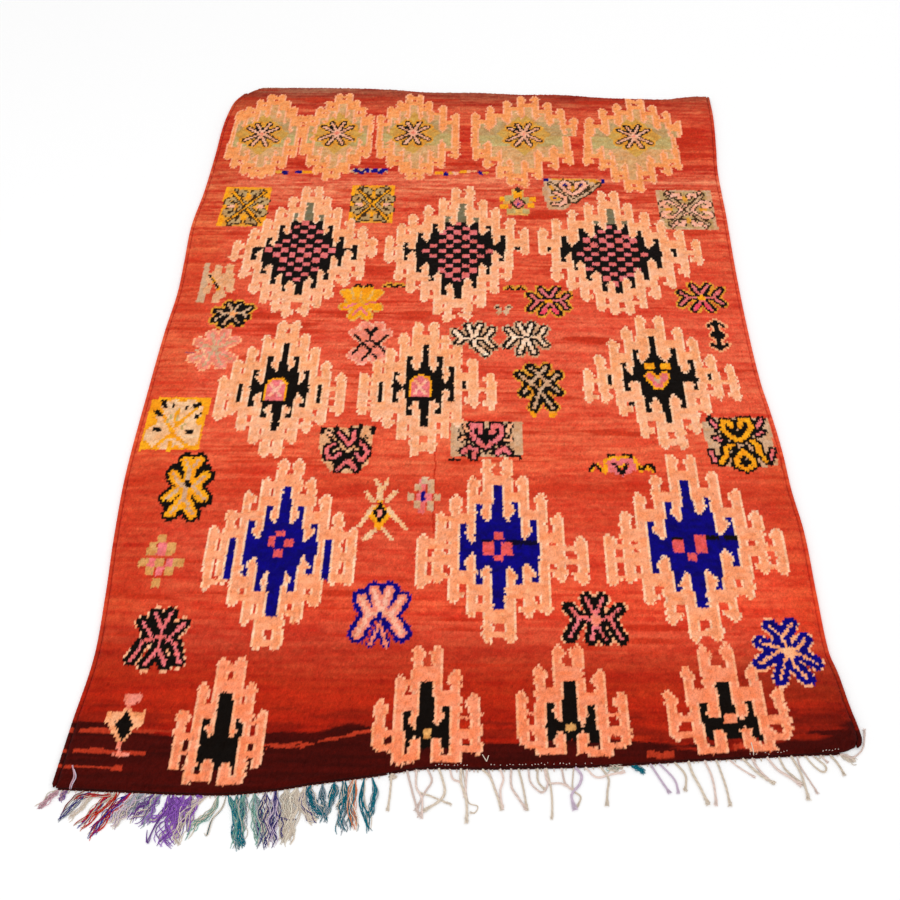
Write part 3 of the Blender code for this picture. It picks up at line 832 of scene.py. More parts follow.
# A square of four hearts, drawn for this size: its border, a heart with curled lobes that stands on
# its foot, a corner's hook, the reach of the cross's arms, and the dyes of the eyes
SQUARE_SIZE = (160, 175)
BORDER = (12, 5)
HEART = (
    (-12, 42), (-16, 58), (-30, 60), (-38, 42), (-22, 18), (0, 2),
    (22, 18), (38, 42), (30, 60), (16, 58), (12, 42),
)
CORNER_HOOK = ((-46, 78), (-38, 56))
CROSS_ARM = (54, 66)
EYES = ("yellow", "pale_pink", "yellow", "pale_pink")


def scroll_square(middle, border, field, heart_dye, outline, eyes, box):
    """A square of four hearts, foot to foot, between the arms of a cross."""
    left, right, low, high = box
    wide, tall = (right - left) / SQUARE_SIZE[0], (high - low) / SQUARE_SIZE[1]
    beside, above = BORDER
    paint(block(middle, left, right, low, high), border)
    paint(block(middle, left + beside, right - beside, low + above, high - above), field)
    for way_x in (-1, 1):
        for way_y in (-1, 1):
            hook = tuple((-way_x * x * wide, way_y * y * tall) for x, y in CORNER_HOOK)
            draw(middle, (hook,), ((outline, 17), (heart_dye, 7)))
    for quarters, eye in enumerate(eyes):
        wider, taller = (tall, wide) if quarters % 2 else (wide, tall)
        upright = tuple((x * wider, (y + 9) * taller) for x, y in HEART)
        heart, pupil = turned((upright, ((0, 44 * taller), (0, 54 * taller))), quarters)
        draw(middle, (heart,), ((outline, 20), (heart_dye, 12)))
        paint(stroke(middle, pupil, 14), eye)
    for way_x in (-1, 1):
        arms = tuple(((0, 0), (way_x * CROSS_ARM[0] * wide, way_y * CROSS_ARM[1] * tall))
                     for way_y in (-1, 1))
        draw(middle, arms, ((outline, 15), (border, 6)))


def heart_panel():
    """The stone panel with one pink heart, under the fourth medallion of the first row."""
    middle = (312, 2642)
    paint(area(middle, ((-85, 72), (75, 72), (87, 60), (20, -30), (-10, -50), (-25, -68),
                        (-75, -68), (-87, 0))), "stone")
    paint(area(middle, ((-66, 73), (-30, 66), (50, 66), (70, 56), (84, 62), (74, 73))), "gold")
    arms = (((-64, 50), (-2, -26), (6, -34)), ((80, 50), (38, 2), (0, -32)),
            ((-4, -34), (-14, -28)))
    draw(middle, arms, (("umber", 19), ("stone", 7)))
    heart = (((-8, 30), (-8, 52), (-24, 60), (-34, 46), (-22, 20), (0, 0), (22, 18), (40, 42),
              (34, 60), (18, 56), (10, 34)),)
    draw(middle, heart, (("umber", 24), ("pale_pink", 12)))
    paint(stroke(middle, ((2, 34), (1, 22)), 13), "gold")
    for across in (-20, 28):
        paint(stroke(middle, ((across, 45), (across + 1, 45)), 12), "navy")
    lobe = (((-52, 8), (-40, 0), (-24, -16), (-22, -34), (-40, -48), (-56, -46)),)
    draw(middle, lobe, (("umber", 24), ("pale_pink", 12)))
    paint(stroke(middle, ((-60, -18), (-48, -22)), 17), "gold")
    paint(stroke(middle, ((-55, -17), (-54, -18)), 9), "navy")
    paint(stroke(middle, ((-64, 38), (-58, 22)), 10), "gold")
    for place_of in ((236, 2710), (405, 2707)):
        paint(stroke(place_of, ((-1, 4), (1, -4)), 13), "navy")


def sun_panel():
    """The cream panel with yellow rays at the left edge."""
    middle = (-689, 1731)
    paint(area(middle, ((-76, 80), (-40, 87), (70, 84), (62, -82), (-78, -84))), "yellow")
    paint(area(middle, ((-50, 62), (-20, 80), (0, 72), (22, 80), (50, 70), (56, 34), (42, 10),
                        (62, -12), (58, -58), (36, -76), (8, -68), (-14, -78), (-44, -76),
                        (-70, -48), (-68, -6), (-48, 12), (-60, 34))), "cream")
    rays = (((-56, 56), (-8, -22), (-6, -40)), ((-4, 4), (-4, 44)), ((36, 48), (-2, -8)),
            ((-6, -30), (-44, -76)), ((-6, -30), (42, -76)), ((-66, -8), (-52, 6)),
            ((-6, -56), (-6, -80)))
    draw(middle, rays, (("yellow", 10),))
    threads = (((-24, 8), (-20, 26)), ((10, -18), (20, 0)), ((-4, 16), (-2, 28)))
    draw(middle, threads, (("olive", 5),))
    marks = (((-46, 76), (-39, 58)), ((46, 66), (34, 58)), ((-58, 42), (-45, 28)),
             ((42, 24), (45, 22)), ((-50, -18), (-42, -20)), ((28, -23), (38, -25)))
    draw(middle, marks, (("black", 12),))
    dots = (((-21, 60), (-20, 56)), ((13, 58), (13, 52)), ((51, 34), (53, 33)))
    draw(middle, dots, (("black", 8),))


def shield_panel():
    """The sand-coloured shield with pink scrolls, between the third and fourth rows."""
    middle = (-274, 1661)
    paint(area(middle, ((-70, 62), (62, 76), (60, 10), (54, -45), (30, -72), (-22, -76),
                        (-52, -46), (-68, 10))), "sand")
    teeth = tuple(((x, low), (x + 2, low + 6)) for x, low in (
        (-62, 54), (-32, 58), (4, 60), (26, 66), (56, 64), (57, 52)))
    draw(middle, teeth, (("black", 12),))
    arms = (((-44, 44), (2, -8)), ((2, -8), (40, 34)), ((0, -8), (-24, -42)),
            ((2, -10), (30, -50)))
    draw(middle, arms, (("black", 16), ("sand", 7)))
    scrolls = (
        ((-24, 50), (-8, 28), (6, 16), (14, 34), (16, 54)),
        ((-30, 14), (-46, 2), (-44, -24), (-28, -30), (-18, -14)),
        ((30, 18), (44, 8), (48, -16), (36, -34), (24, -14)), ((-16, -62), (4, -34), (26, -60)))
    draw(middle, scrolls, (("black", 25), ("pink", 10)))
    draw(middle, (((-2, -14), (6, -20)), ((0, -54), (4, -52))), (("black", 13),))
    draw(middle, (((-34, 2), (-36, -10)), ((34, 4), (36, -4))), (("black", 11),))
    draw(middle, (((-48, 52), (-42, 40)),), (("black", 14), ("pale_peach", 8)))


def arch_panel():
    """The stone panel with a pink heart, above the middle medallion of the fourth row."""
    middle = (55, 1692)
    paint(area(middle, ((-82, 62), (-50, 66), (86, 66), (86, -44), (-82, -48))), "stone")
    teeth = tuple(((x, -58), (x + 5, -62)) for x in (-84, -74, -64))
    draw(middle, teeth, (("black", 7),))
    draw(middle, (((58, -42), (80, -48)),), (("black", 9),))
    band = (((-58, 30), (-40, -2), (-6, -34)), ((56, 28), (36, 0), (4, -34)))
    draw(middle, band, (("black", 18), ("stone", 8)))
    heart = (((-12, 24), (-12, 50), (-30, 52), (-36, 30), (-28, 8), (0, -20), (28, 6), (38, 28),
              (34, 50), (18, 52), (14, 26)),)
    draw(middle, heart, (("black", 28), ("pink", 12)))
    paint(area(middle, ((-14, 14), (2, -2), (18, 14), (8, 22), (2, 30), (-6, 22))), "black")
    for across in (-22, 27):
        paint(stroke(middle, ((across, 22), (across, 38)), 9), "black")
    paint(stroke(middle, ((1, 44), (2, 54)), 10), "stone")
    petals = (((-52, 50), (-44, 30)), ((58, 52), (52, 34)), ((60, 8), (44, 2)),
              ((-58, 6), (-50, 10)))
    draw(middle, petals, (("black", 19), ("pale_peach", 8)))
    lobes = (((-54, -34), (-40, -20), (-24, -28), (-30, -52)), ((26, -34), (42, -20), (54, -34)))
    draw(middle, lobes, (("black", 25), ("pink", 11)))
    paint(stroke(middle, ((-42, -34), (-40, -36)), 9), "black")


def heart_square():
    """The stone square with a yellow heart, near the right edge."""
    middle = (655, 1697)
    paint(area(middle, ((-80, 62), (-60, 76), (84, 78), (84, -70), (-40, -74),
                        (-72, -60))), "stone")
    band = (((-46, 40), (-12, 2), (8, -14)), ((56, 44), (24, 6), (4, -12)), ((6, -12), (-26, -56)),
            ((6, -12), (34, -40)))
    draw(middle, band, (("black", 18), ("stone", 8)))
    heart = (((-10, 50), (-14, 68), (-28, 66), (-32, 44), (-16, 20), (4, 6), (26, 28), (38, 50),
              (32, 74), (16, 74), (12, 52)),)
    draw(middle, heart, (("black", 26), ("yellow", 12)))
    paint(area(middle, ((-20, 44), (2, 20), (24, 44), (14, 46), (4, 40), (-8, 48))), "black")
    lower = (((-16, -8), (-34, -18), (-34, -38), (-48, -60)),
             ((32, 6), (46, -6), (44, -30), (62, -56)),
             ((8, -26), (-10, -48), (-12, -70), (8, -80), (28, -66), (24, -44), (8, -26)))
    draw(middle, lower, (("black", 27), ("yellow", 12)))
    paint(stroke(middle, ((8, -58), (8, -64)), 13), "black")
    strips = (((-58, 72), (-46, 48)), ((66, 74), (54, 50)), ((64, 36), (50, 26)),
              ((-70, -28), (-62, -58)), ((78, -20), (70, -48)), ((-52, 14), (-40, 6)))
    draw(middle, strips, (("black", 22), ("pink", 8)))


def lantern():
    """The peach figure in the maroon end."""
    middle = (-652, 945)
    paint(area(middle, ((-40, 36), (-15, 36), (-3, 44), (15, 33), (36, 39), (31, 12), (15, -10),
                        (-5, -36), (-22, -12), (-42, 15))), "peach")
    paint(lozenge((middle[0] - 3, middle[1] + 5), 19, 32), "black")
    draw(middle, (((-4, -34), (-2, -52)), ((-13, -57), (17, -57))), (("salmon", 7),))


def hooked_ornament():
    """A lozenge between two pairs of hooks, near the right edge."""
    lines = (((0, -50), (0, 50)), ((-20, 34), (0, 52), (20, 34)),
             ((-20, -34), (0, -52), (20, -34)), ((-16, 0), (0, 18), (16, 0), (0, -18), (-16, 0)))
    draw((657, 2062), lines, (("peach", 20), ("black", 10)))


def small_figures():
    """The figures between the medallions, and the marks that are drawn over them."""
    golden = ("yellow", "gold", "grey", "umber", EYES)
    scroll_square((-638, 2568), *golden, (-70, 64, -90, 92))
    scroll_square((-271, 2587), *golden, (-66, 62, -88, 88))
    stony = ("stone", "grey", "pale_pink", "umber", ("gold",) * 4)
    scroll_square((637, 2578), *stony, (-82, 80, -90, 88))
    for coats, middle, petals in FLOWERS:
        draw(middle, petals, COATS[coats])
    for middle, squares in SQUARES:
        for dye, half_width, half_height, *places in squares:
            for across, along in places:
                at = (middle[0] + across, middle[1] + along)
                paint(square(at, half_width, half_height), dye)
    for middle, strokes in STROKES:
        for dye, width, *points in strokes:
            paint(stroke(middle, points, width), dye)
    for dye, half_width, half_height, middle in LOZENGES:
        paint(lozenge(middle, half_width, half_height), dye)
    heart_panel()
    sun_panel()
    shield_panel()
    arch_panel()
    heart_square()
    lantern()
    hooked_ornament()


def weave():
    """Draws the chart; where a small figure meets a medallion, the medallion lies over it."""
    medallions()
    large = CHART.copy()
    small_figures()
    CHART[large > 0] = large[large > 0]


weave()

# The pile's surface

# How far red, green and blue stray within a dye lot
MOTTLE_REACH = np.array((0.05, 0.20, 0.36))
# How far the edge of a knot strays, in knots, and how much tufts, fibres and patches differ
KNOT_STRAY_UP, KNOT_STRAY_ACROSS = 0.15, 0.13
TUFT_SHADE, FIBRE_SHADE, PATCH_SHADE = 0.075, 0.05, 0.05


def knot_number(share, knots, stray=0.0):
    """The row or column of the knot at a share of the way over the pile."""
    return np.clip((share * knots + stray).astype(int), 0, knots - 1)


def sample_colours(across, along, u, v, seed):
    """The linear colour of the wool at each place, from the chart and the ground's shades, painted
    highlight and shade among them.
    """
    rng = seeded(seed)
    row = knot_number(v, ROWS, rng.normal(0.0, KNOT_STRAY_UP, u.shape))
    column = knot_number(u, COLUMNS, rng.normal(0.0, KNOT_STRAY_ACROSS, u.shape))
    dye = CHART[row, column]
    palette = linear(list(DYES.values()))
    across, along = across * 1000, along * 1000
    mottle = streaks(across, along, (13, 9), 92)
    colour = np.clip(palette[dye] * (1 + mottle[..., None] * MOTTLE_REACH), 0.0, 1.0)
    colour = np.where((dye == 0)[..., None], ground_colour(across, along), colour)
    tuft = seeded(seed + 1).normal(0.0, TUFT_SHADE, (ROWS, COLUMNS))[row, column]
    shade = 1.0 + tuft + rng.normal(0.0, FIBRE_SHADE, u.shape)
    shade += PATCH_SHADE * streaks(across, along, (60, 14), 91)
    return np.clip(colour * shade[..., None], 0.0, 1.0)


# Shades of the ground up the rug: along, then sRGB
GROUND_SHADES = (
    (800, 160, 24, 8), (950, 165, 30, 10), (1050, 174, 38, 16), (1110, 190, 56, 32),
    (1160, 206, 66, 42), (1230, 222, 73, 44), (1400, 218, 74, 47), (1540, 216, 74, 46),
    (1640, 226, 86, 54), (1900, 228, 90, 60), (2080, 226, 86, 58), (2250, 222, 82, 52),
    (2500, 224, 90, 58), (2700, 220, 96, 66), (2780, 206, 68, 42), (2900, 208, 64, 36),
    (3050, 206, 74, 46), (3110, 184, 68, 42), (3150, 156, 58, 38), (3200, 156, 84, 62),
)
DARK_STREAK = (188, 40, 16)
# Streaks of darker red: (left, right, along, half height, strength)
GROUND_STREAKS = (
    (-760, 760, 2782, 12, 0.8), (600, 760, 2930, 60, 0.8), (600, 760, 2830, 22, 0.6),
    (-760, -700, 2900, 40, 0.7), (200, 740, 2672, 10, 0.7), (-760, 300, 2655, 8, 0.6),
    (150, 760, 2620, 8, 0.6), (150, 760, 2545, 14, 0.7), (-760, -680, 2250, 16, 0.7),
    (-400, -215, 2120, 16, 0.6), (-560, -380, 2070, 16, 0.7), (230, 420, 2035, 10, 0.8),
    (-30, 700, 1722, 10, 0.7), (-760, 760, 1545, 30, 0.35), (-760, 740, 1455, 22, 0.3),
    (-580, -330, 1665, 5, 0.6), (-760, 740, 1015, 16, 0.6), (-760, 740, 965, 10, 0.6),
    (-760, 0, 3120, 12, 0.6),
)
# How far red, green and blue stray in the ground, and how far they fall beside the sides
TONE_REACH = np.array((0.07, 0.34, 0.38))
SIDE_SHADE = np.array((0.04, 0.09, 0.18))
# Where soft changes of the ground set in, as the start and run of a rise
COARSER_UP = (2300, 300)
# The painted shade over the near right of the ground sets in with the first pair across and the
# second along
PAINTED_SHADE_ACROSS, PAINTED_SHADE_DOWN = (430, 220), (1180, -140)
LEFT_SIDE, RIGHT_SIDE, RIGHT_SIDE_DOWN = (-650, -60), (670, 60), (1800, -200)
LIT_UP, LIT_DOWN = (1080, 60), (1500, -150)
# A thin dark seam: across, from here to here along
SEAM = (-64, 1420, 1670)
MAROON = (66, 8, 4)
# The upper edge of the maroon band: (across, along)
MAROON_EDGE = (
    (-780, 962), (-640, 948), (-520, 930), (-400, 938), (-200, 962), (-100, 930), (50, 936),
    (160, 934), (300, 944), (420, 934), (560, 922), (640, 952), (700, 962), (780, 985),
)
FLAME = (178, 52, 28)
DUSK = (158, 78, 96)
# Odd wefts in the maroon end and at the left: left, along there, right, along there, width, colour
ODD_WEFTS = (
    (-742, 896, -600, 893, 9, FLAME),
    (-752, 866, -640, 862, 7, FLAME),
    (-740, 938, -560, 942, 8, FLAME),
    (-380, 911, -300, 917, 9, FLAME),
    (-300, 917, -160, 949, 8, FLAME),
    (362, 908, 414, 911, 12, FLAME),
    (530, 926, 600, 932, 12, FLAME),
    (-724, 1977, -688, 1973, 5, DUSK),
)


def coral(across, along, fine):
    """The plain ground with its dye lots and soft shades, and a painted shade over its near right,
    in sRGB.
    """
    shades = np.array(GROUND_SHADES, float)
    level = along + 14 * streaks(across, along, (260, 60), 3)
    colour = np.stack([np.interp(level, shades[:, 0], shades[:, k]) for k in (1, 2, 3)], -1)
    grain = streaks(across, along, (16, 7), 6)
    broad = streaks(across, along, (420, 22), 7)
    tone = 0.62 * fine + 0.42 * broad + 0.42 * grain
    tone = tone * (1 + 0.6 * rising(along, *COARSER_UP))
    colour = colour * (1 + tone[..., None] * TONE_REACH)
    # Painted shade: the near right of the ground is darkened by up to a sixth
    painted_shade = rising(across, *PAINTED_SHADE_ACROSS) * rising(along, *PAINTED_SHADE_DOWN)
    colour = colour * (1 - 0.16 * painted_shade)[..., None]
    right_side = rising(across, *RIGHT_SIDE) * rising(along, *RIGHT_SIDE_DOWN)
    beside = np.maximum(rising(across, *LEFT_SIDE), right_side)
    colour = colour * (1 - beside[..., None] * SIDE_SHADE)
    lit = 0.04 * np.clip(across / 600, -1, 1) * rising(along, *LIT_DOWN) * rising(along, *LIT_UP)
    return colour * (1 + lit)[..., None]


def darkness(across, along, ragged):
    """How strong the darker streaks and the seam are, from 0 to 1."""
    dark = 0.65 * rising(streaks(across, along, (130, 8), 11), 0.30, 0.5)
    dark = dark * rising(streaks(across, along, (500, 90), 12), -0.45, 0.6)
    for left, right, middle, half, strength in GROUND_STREAKS:
        reach = ease((half - np.abs(along - middle) + ragged) / 8)
        ends = ease((across - left + 5 * ragged) / 60) * ease((right - across + 5 * ragged) / 60)
        dark = np.maximum(dark, strength * reach * ends)
    place_of, low, high = SEAM
    seam = (np.abs(across - place_of - 0.2 * ragged) < 1.8) & (along > low) & (along < high)
    return np.clip(np.where(seam, 1.0, dark), 0, 1)


def ground_colour(across, along):
    """The ground in linear colour, with its streaks, its maroon end and its odd wefts."""
    fine = streaks(across, along, (80, 6), 5)
    ragged = 10 * streaks(across, along, (70, 8), 13)
    colour = coral(across, along, fine)
    dark = darkness(across, along, ragged)
    colour = mix(colour, np.array(DARK_STREAK, float), dark[..., None])
    edge = np.interp(across, *np.array(MAROON_EDGE, float).T)
    near = 0.3 * ease((edge + 34 - along + 4 * ragged) / 26) * (along > edge)
    near = np.maximum(near, ease((edge - along + 1.3 * ragged) / 9))
    colour = mix(colour, np.array(MAROON, float) * (1 + 0.15 * fine)[..., None], near[..., None])
    for left, low, right, high, width, weft in ODD_WEFTS:
        level = np.interp(across, (left, right), (low, high)) + 0.25 * ragged
        on = (across > left) & (across < right) & (np.abs(along - level) < width / 2)
        on &= streaks(across, along, (26, 7), 17) > -0.55
        colour = np.where(on[..., None], np.array(weft, float), colour)
    return linear(np.clip(colour, 0, 255))


def new_mesh(name, points, faces, colours):
    """A piece from numpy points, faces and one linear colour for each point."""
    mesh = bpy.data.meshes.new(name)
    mesh.from_pydata(points.tolist(), [], faces.tolist())
    attribute = mesh.color_attributes.new(name="dye", type="FLOAT_COLOR", domain="POINT")
    rgba = np.ones((len(points), 4), np.float32)
    rgba[:, :3] = colours
    attribute.data.foreach_set("color", rgba.ravel())
    mesh.polygons.foreach_set("use_smooth", np.full(len(faces), True))
    piece = bpy.data.objects.new(name, mesh)
    bpy.context.scene.collection.objects.link(piece)
    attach(piece, "root")
    return piece


def flat_map(piece, points):
    """A map seen from straight above, over the piece's own box."""
    low, high = points.min(axis=0), points.max(axis=0)
    share = (points - low) / (high - low)
    corners = np.empty(len(piece.data.loops), np.int32)
    piece.data.loops.foreach_get("vertex_index", corners)
    layer = piece.data.uv_layers.new(name="OFBake")
    layer.data.foreach_set("uv", share[corners][:, :2].astype(np.float32).ravel())


def in_frame(across, along, height):
    return np.stack([across - SHIFT_ACROSS, along - SHIFT_ALONG, height], axis=-1)


def lattice_faces(rows, columns):
    """The faces of a lattice of points in rows, seen from above."""
    first = (np.arange(rows - 1)[:, None] * columns + np.arange(columns - 1)[None]).ravel()
    return np.stack([first, first + 1, first + columns + 1, first + columns], axis=-1)


def tube_faces(rings, sides):
    """The faces round a tube of rings of points."""
    ring, step = np.meshgrid(np.arange(rings - 1) * sides, np.arange(sides), indexing="ij")
    ahead = (step + 1) % sides
    corners = [ring + step, ring + ahead, ring + sides + ahead, ring + sides + step]
    return np.stack(corners, axis=-1).reshape(-1, 4)


# The pile, in metres: its skirt's foot, the still strip at its very edge and how much knots and
# fibres differ in height; then how far a place strays, as a share of the step to the next
SKIRT_FOOT = 0.0022
EDGE_STRIP = 0.0004
KNOT_ROUGHNESS, FIBRE_ROUGHNESS = 0.00042, 0.00028
SCATTER = 0.20


def pile_shares(knots):
    """Shares of the way over the pile: the skirt's foot, the rim, two in each knot, and back."""
    inner = (np.arange(knots * SAMPLES) + 0.5) / (knots * SAMPLES)
    return np.concatenate([[0.0, 0.0], inner, [1.0, 1.0]])


def pile():
    """The cut wool, in bands from the near end to the far end."""
    us, vs = pile_shares(COLUMNS), pile_shares(ROWS)
    u, v = np.meshgrid(us, vs)
    across, along = place(u, v)
    inset = np.minimum(np.minimum(u, 1 - u) * WIDTH, np.minimum(v, 1 - v) * LENGTH)
    rng = seeded(21)
    knot = seeded(22).normal(0.0, KNOT_ROUGHNESS, (ROWS, COLUMNS))
    inner = inset > EDGE_STRIP
    rough = knot[knot_number(v, ROWS), knot_number(u, COLUMNS)]
    rough = rough + rng.normal(0.0, FIBRE_ROUGHNESS, u.shape)
    relief = rough + waves(across, along) * (inset > RIM_WIDTH)
    height = eased(RIM_HEIGHTS, inset) + inner * relief
    height[:, [0, -1]] = SKIRT_FOOT
    height[[0, -1], :] = SKIRT_FOOT
    colours = sample_colours(across, along, u, v, 31)
    side_step, along_step = WIDTH / COLUMNS / SAMPLES, LENGTH / ROWS / SAMPLES
    across = across + inner * rng.normal(0.0, SCATTER * side_step, u.shape)
    along = along + inner * rng.normal(0.0, SCATTER * along_step, u.shape)
    points = in_frame(across, along, height)
    bands = []
    edges = np.linspace(0, len(vs) - 1, BANDS + 1).astype(int)
    for number, (low, high) in enumerate(zip(edges, edges[1:])):
        piece_points = points[low : high + 1].reshape(-1, 3)
        faces = lattice_faces(high + 1 - low, len(us))
        piece_colours = colours[low : high + 1].reshape(-1, 3)
        band = new_mesh(f"pile_band_{number + 1}", piece_points, faces, piece_colours)
        flat_map(band, piece_points)
        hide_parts("rug_field")
        bands.append(band)
    return bands


# The back's level and its turned-up edge, in metres, and how much duller its dyes are
BACK_LEVEL = 0.0003
BACK_EDGE = SKIRT_FOOT + 0.001
BACK_DYES = 0.8


def back_cloth():
    """The woven back with its turned-up edge, seen from below."""
    shares = [np.concatenate([[0.0], np.linspace(0.0, 1.0, count), [1.0]])
              for count in (BACK_COLUMNS, BACK_ROWS)]
    u, v = np.meshgrid(*shares)
    across, along = place(u, v)
    height = np.full(u.shape, BACK_LEVEL)
    height[:, [0, -1]] = BACK_EDGE
    height[[0, -1], :] = BACK_EDGE
    points = in_frame(across, along, height).reshape(-1, 3)
    faces = lattice_faces(len(shares[1]), len(shares[0]))[:, ::-1]
    colours = sample_colours(across, along, u, v, 41).reshape(-1, 3) * BACK_DYES
    back = new_mesh("back_cloth", points, faces, colours)
    flat_map(back, points)
    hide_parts("rug_field")
    return back


# Materials

SHEEN, SHEEN_ROUGHNESS, SPECULAR = 0.03, 0.55, 0.03
BUMP_STRENGTH = 0.7
# The part of the noise's range that holds nearly all of it
NOISE_LOW, NOISE_HIGH = 0.25, 0.75
# The stretch of a noise that looks the same in every direction
EVEN = (1.0, 1.0, 1.0)


def matt(name, roughness):
    """A matt material, and its shader for the nodes that give its colour and relief."""
    made = bpy.data.materials.new(name)
    made.use_nodes = True
    shader = made.node_tree.nodes["Principled BSDF"]
    shader.inputs["Roughness"].default_value = roughness
    shader.inputs["Sheen Weight"].default_value = SHEEN
    shader.inputs["Sheen Roughness"].default_value = SHEEN_ROUGHNESS
    shader.inputs["Specular IOR Level"].default_value = SPECULAR
    return made, shader


def add_node(made, kind, **settings):
    node = made.node_tree.nodes.new(kind)
    for key, value in settings.items():
        setattr(node, key, value)
    return node


def fibre_noise(made, scale, stretch):
    """A noise texture on the piece's own coordinates, in cells per metre."""
    coordinates = add_node(made, "ShaderNodeTexCoord")
    mapping = add_node(made, "ShaderNodeMapping")
    mapping.inputs["Scale"].default_value = stretch
    texture = add_node(made, "ShaderNodeTexNoise")
    texture.inputs["Scale"].default_value = scale
    texture.inputs["Detail"].default_value = 3.0
    links = made.node_tree.links
    links.new(coordinates.outputs["Object"], mapping.inputs["Vector"])
    links.new(mapping.outputs["Vector"], texture.inputs["Vector"])
    return texture


def wool(name, roughness, fibres_per_metre, stretch, relief, contrast):
    """Dyed wool: the point colours broken up by fibres, and a fibrous bump."""
    made, shader = matt(name, roughness)
    links = made.node_tree.links
    colour = add_node(made, "ShaderNodeVertexColor", layer_name="dye")
    fibres = fibre_noise(made, fibres_per_metre, stretch)
    ramp = add_node(made, "ShaderNodeMapRange")
    ramp.inputs["From Min"].default_value = NOISE_LOW
    ramp.inputs["From Max"].default_value = NOISE_HIGH
    ramp.inputs["To Min"].default_value = 1.0 - contrast
    ramp.inputs["To Max"].default_value = 1.0 + contrast
    links.new(fibres.outputs["Fac"], ramp.inputs["Value"])
    shade = add_node(made, "ShaderNodeVectorMath", operation="SCALE")
    links.new(colour.outputs["Color"], shade.inputs[0])
    links.new(ramp.outputs["Result"], shade.inputs["Scale"])
    links.new(shade.outputs["Vector"], shader.inputs["Base Color"])
    bump = add_node(made, "ShaderNodeBump")
    bump.inputs["Strength"].default_value = BUMP_STRENGTH
    bump.inputs["Distance"].default_value = relief
    links.new(fibres.outputs["Fac"], bump.inputs["Height"])
    links.new(bump.outputs["Normal"], shader.inputs["Normal"])
    return made


# Side cords

# Points along and round a cord; then in metres the rise of a wrap, how far it grips the cloth's
# edge and the length of its tapered ends
CORD_RINGS, CORD_SIDES = 720, 8
WRAP, GRIP, CORD_TAPER = 0.0052, 0.0004, 0.006
# A cord takes its colours from the ground this far inside it, in millimetres
COLOUR_INSET = 30


def cord(name, node, u, side):
    """Wool wrapped slantwise round the side warps, in the ground's colours, its painted shade
    included.
    """
    v = np.linspace(0.0, 1.0, CORD_RINGS)
    across, along = place(np.full(CORD_RINGS, u), v)
    run = np.stack([np.gradient(across), np.gradient(along)], axis=-1)
    length = np.hypot(run[:, 0], run[:, 1])
    out = np.stack([run[:, 1], -run[:, 0]], axis=-1) / length[:, None] * side
    travelled = np.concatenate([[0.0], np.cumsum(length[1:])])
    angle = np.arange(CORD_SIDES) / CORD_SIDES * 2 * math.pi
    phase = 2 * math.pi * travelled[:, None] / WRAP + angle[None]
    to_end = np.minimum(travelled, travelled[-1] - travelled)
    taper = np.clip(to_end / CORD_TAPER, 0.25, 1.0)
    radius = CORD_RADIUS * taper[:, None] * (1.08 + 0.05 * np.cos(phase))
    offset = CORD_RADIUS - GRIP + radius * np.cos(angle)
    x = across[:, None] + out[:, 0:1] * offset
    y = along[:, None] + out[:, 1:2] * offset
    z = np.maximum(CORD_RADIUS + radius * np.sin(angle), 0.0002)
    points = in_frame(x, y, z).reshape(-1, 3)
    faces = tube_faces(CORD_RINGS, CORD_SIDES)
    if side < 0:
        faces = faces[:, ::-1]
    colours = ground_colour(across * 1000 - COLOUR_INSET * side, along * 1000)
    shade = 1.0 + seeded(51).normal(0.0, 0.06, CORD_RINGS)
    colours = np.repeat(colours * shade[:, None], CORD_SIDES, axis=0)
    piece = new_mesh(name, points, faces, colours)
    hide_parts(node)
    return piece


# The fringe

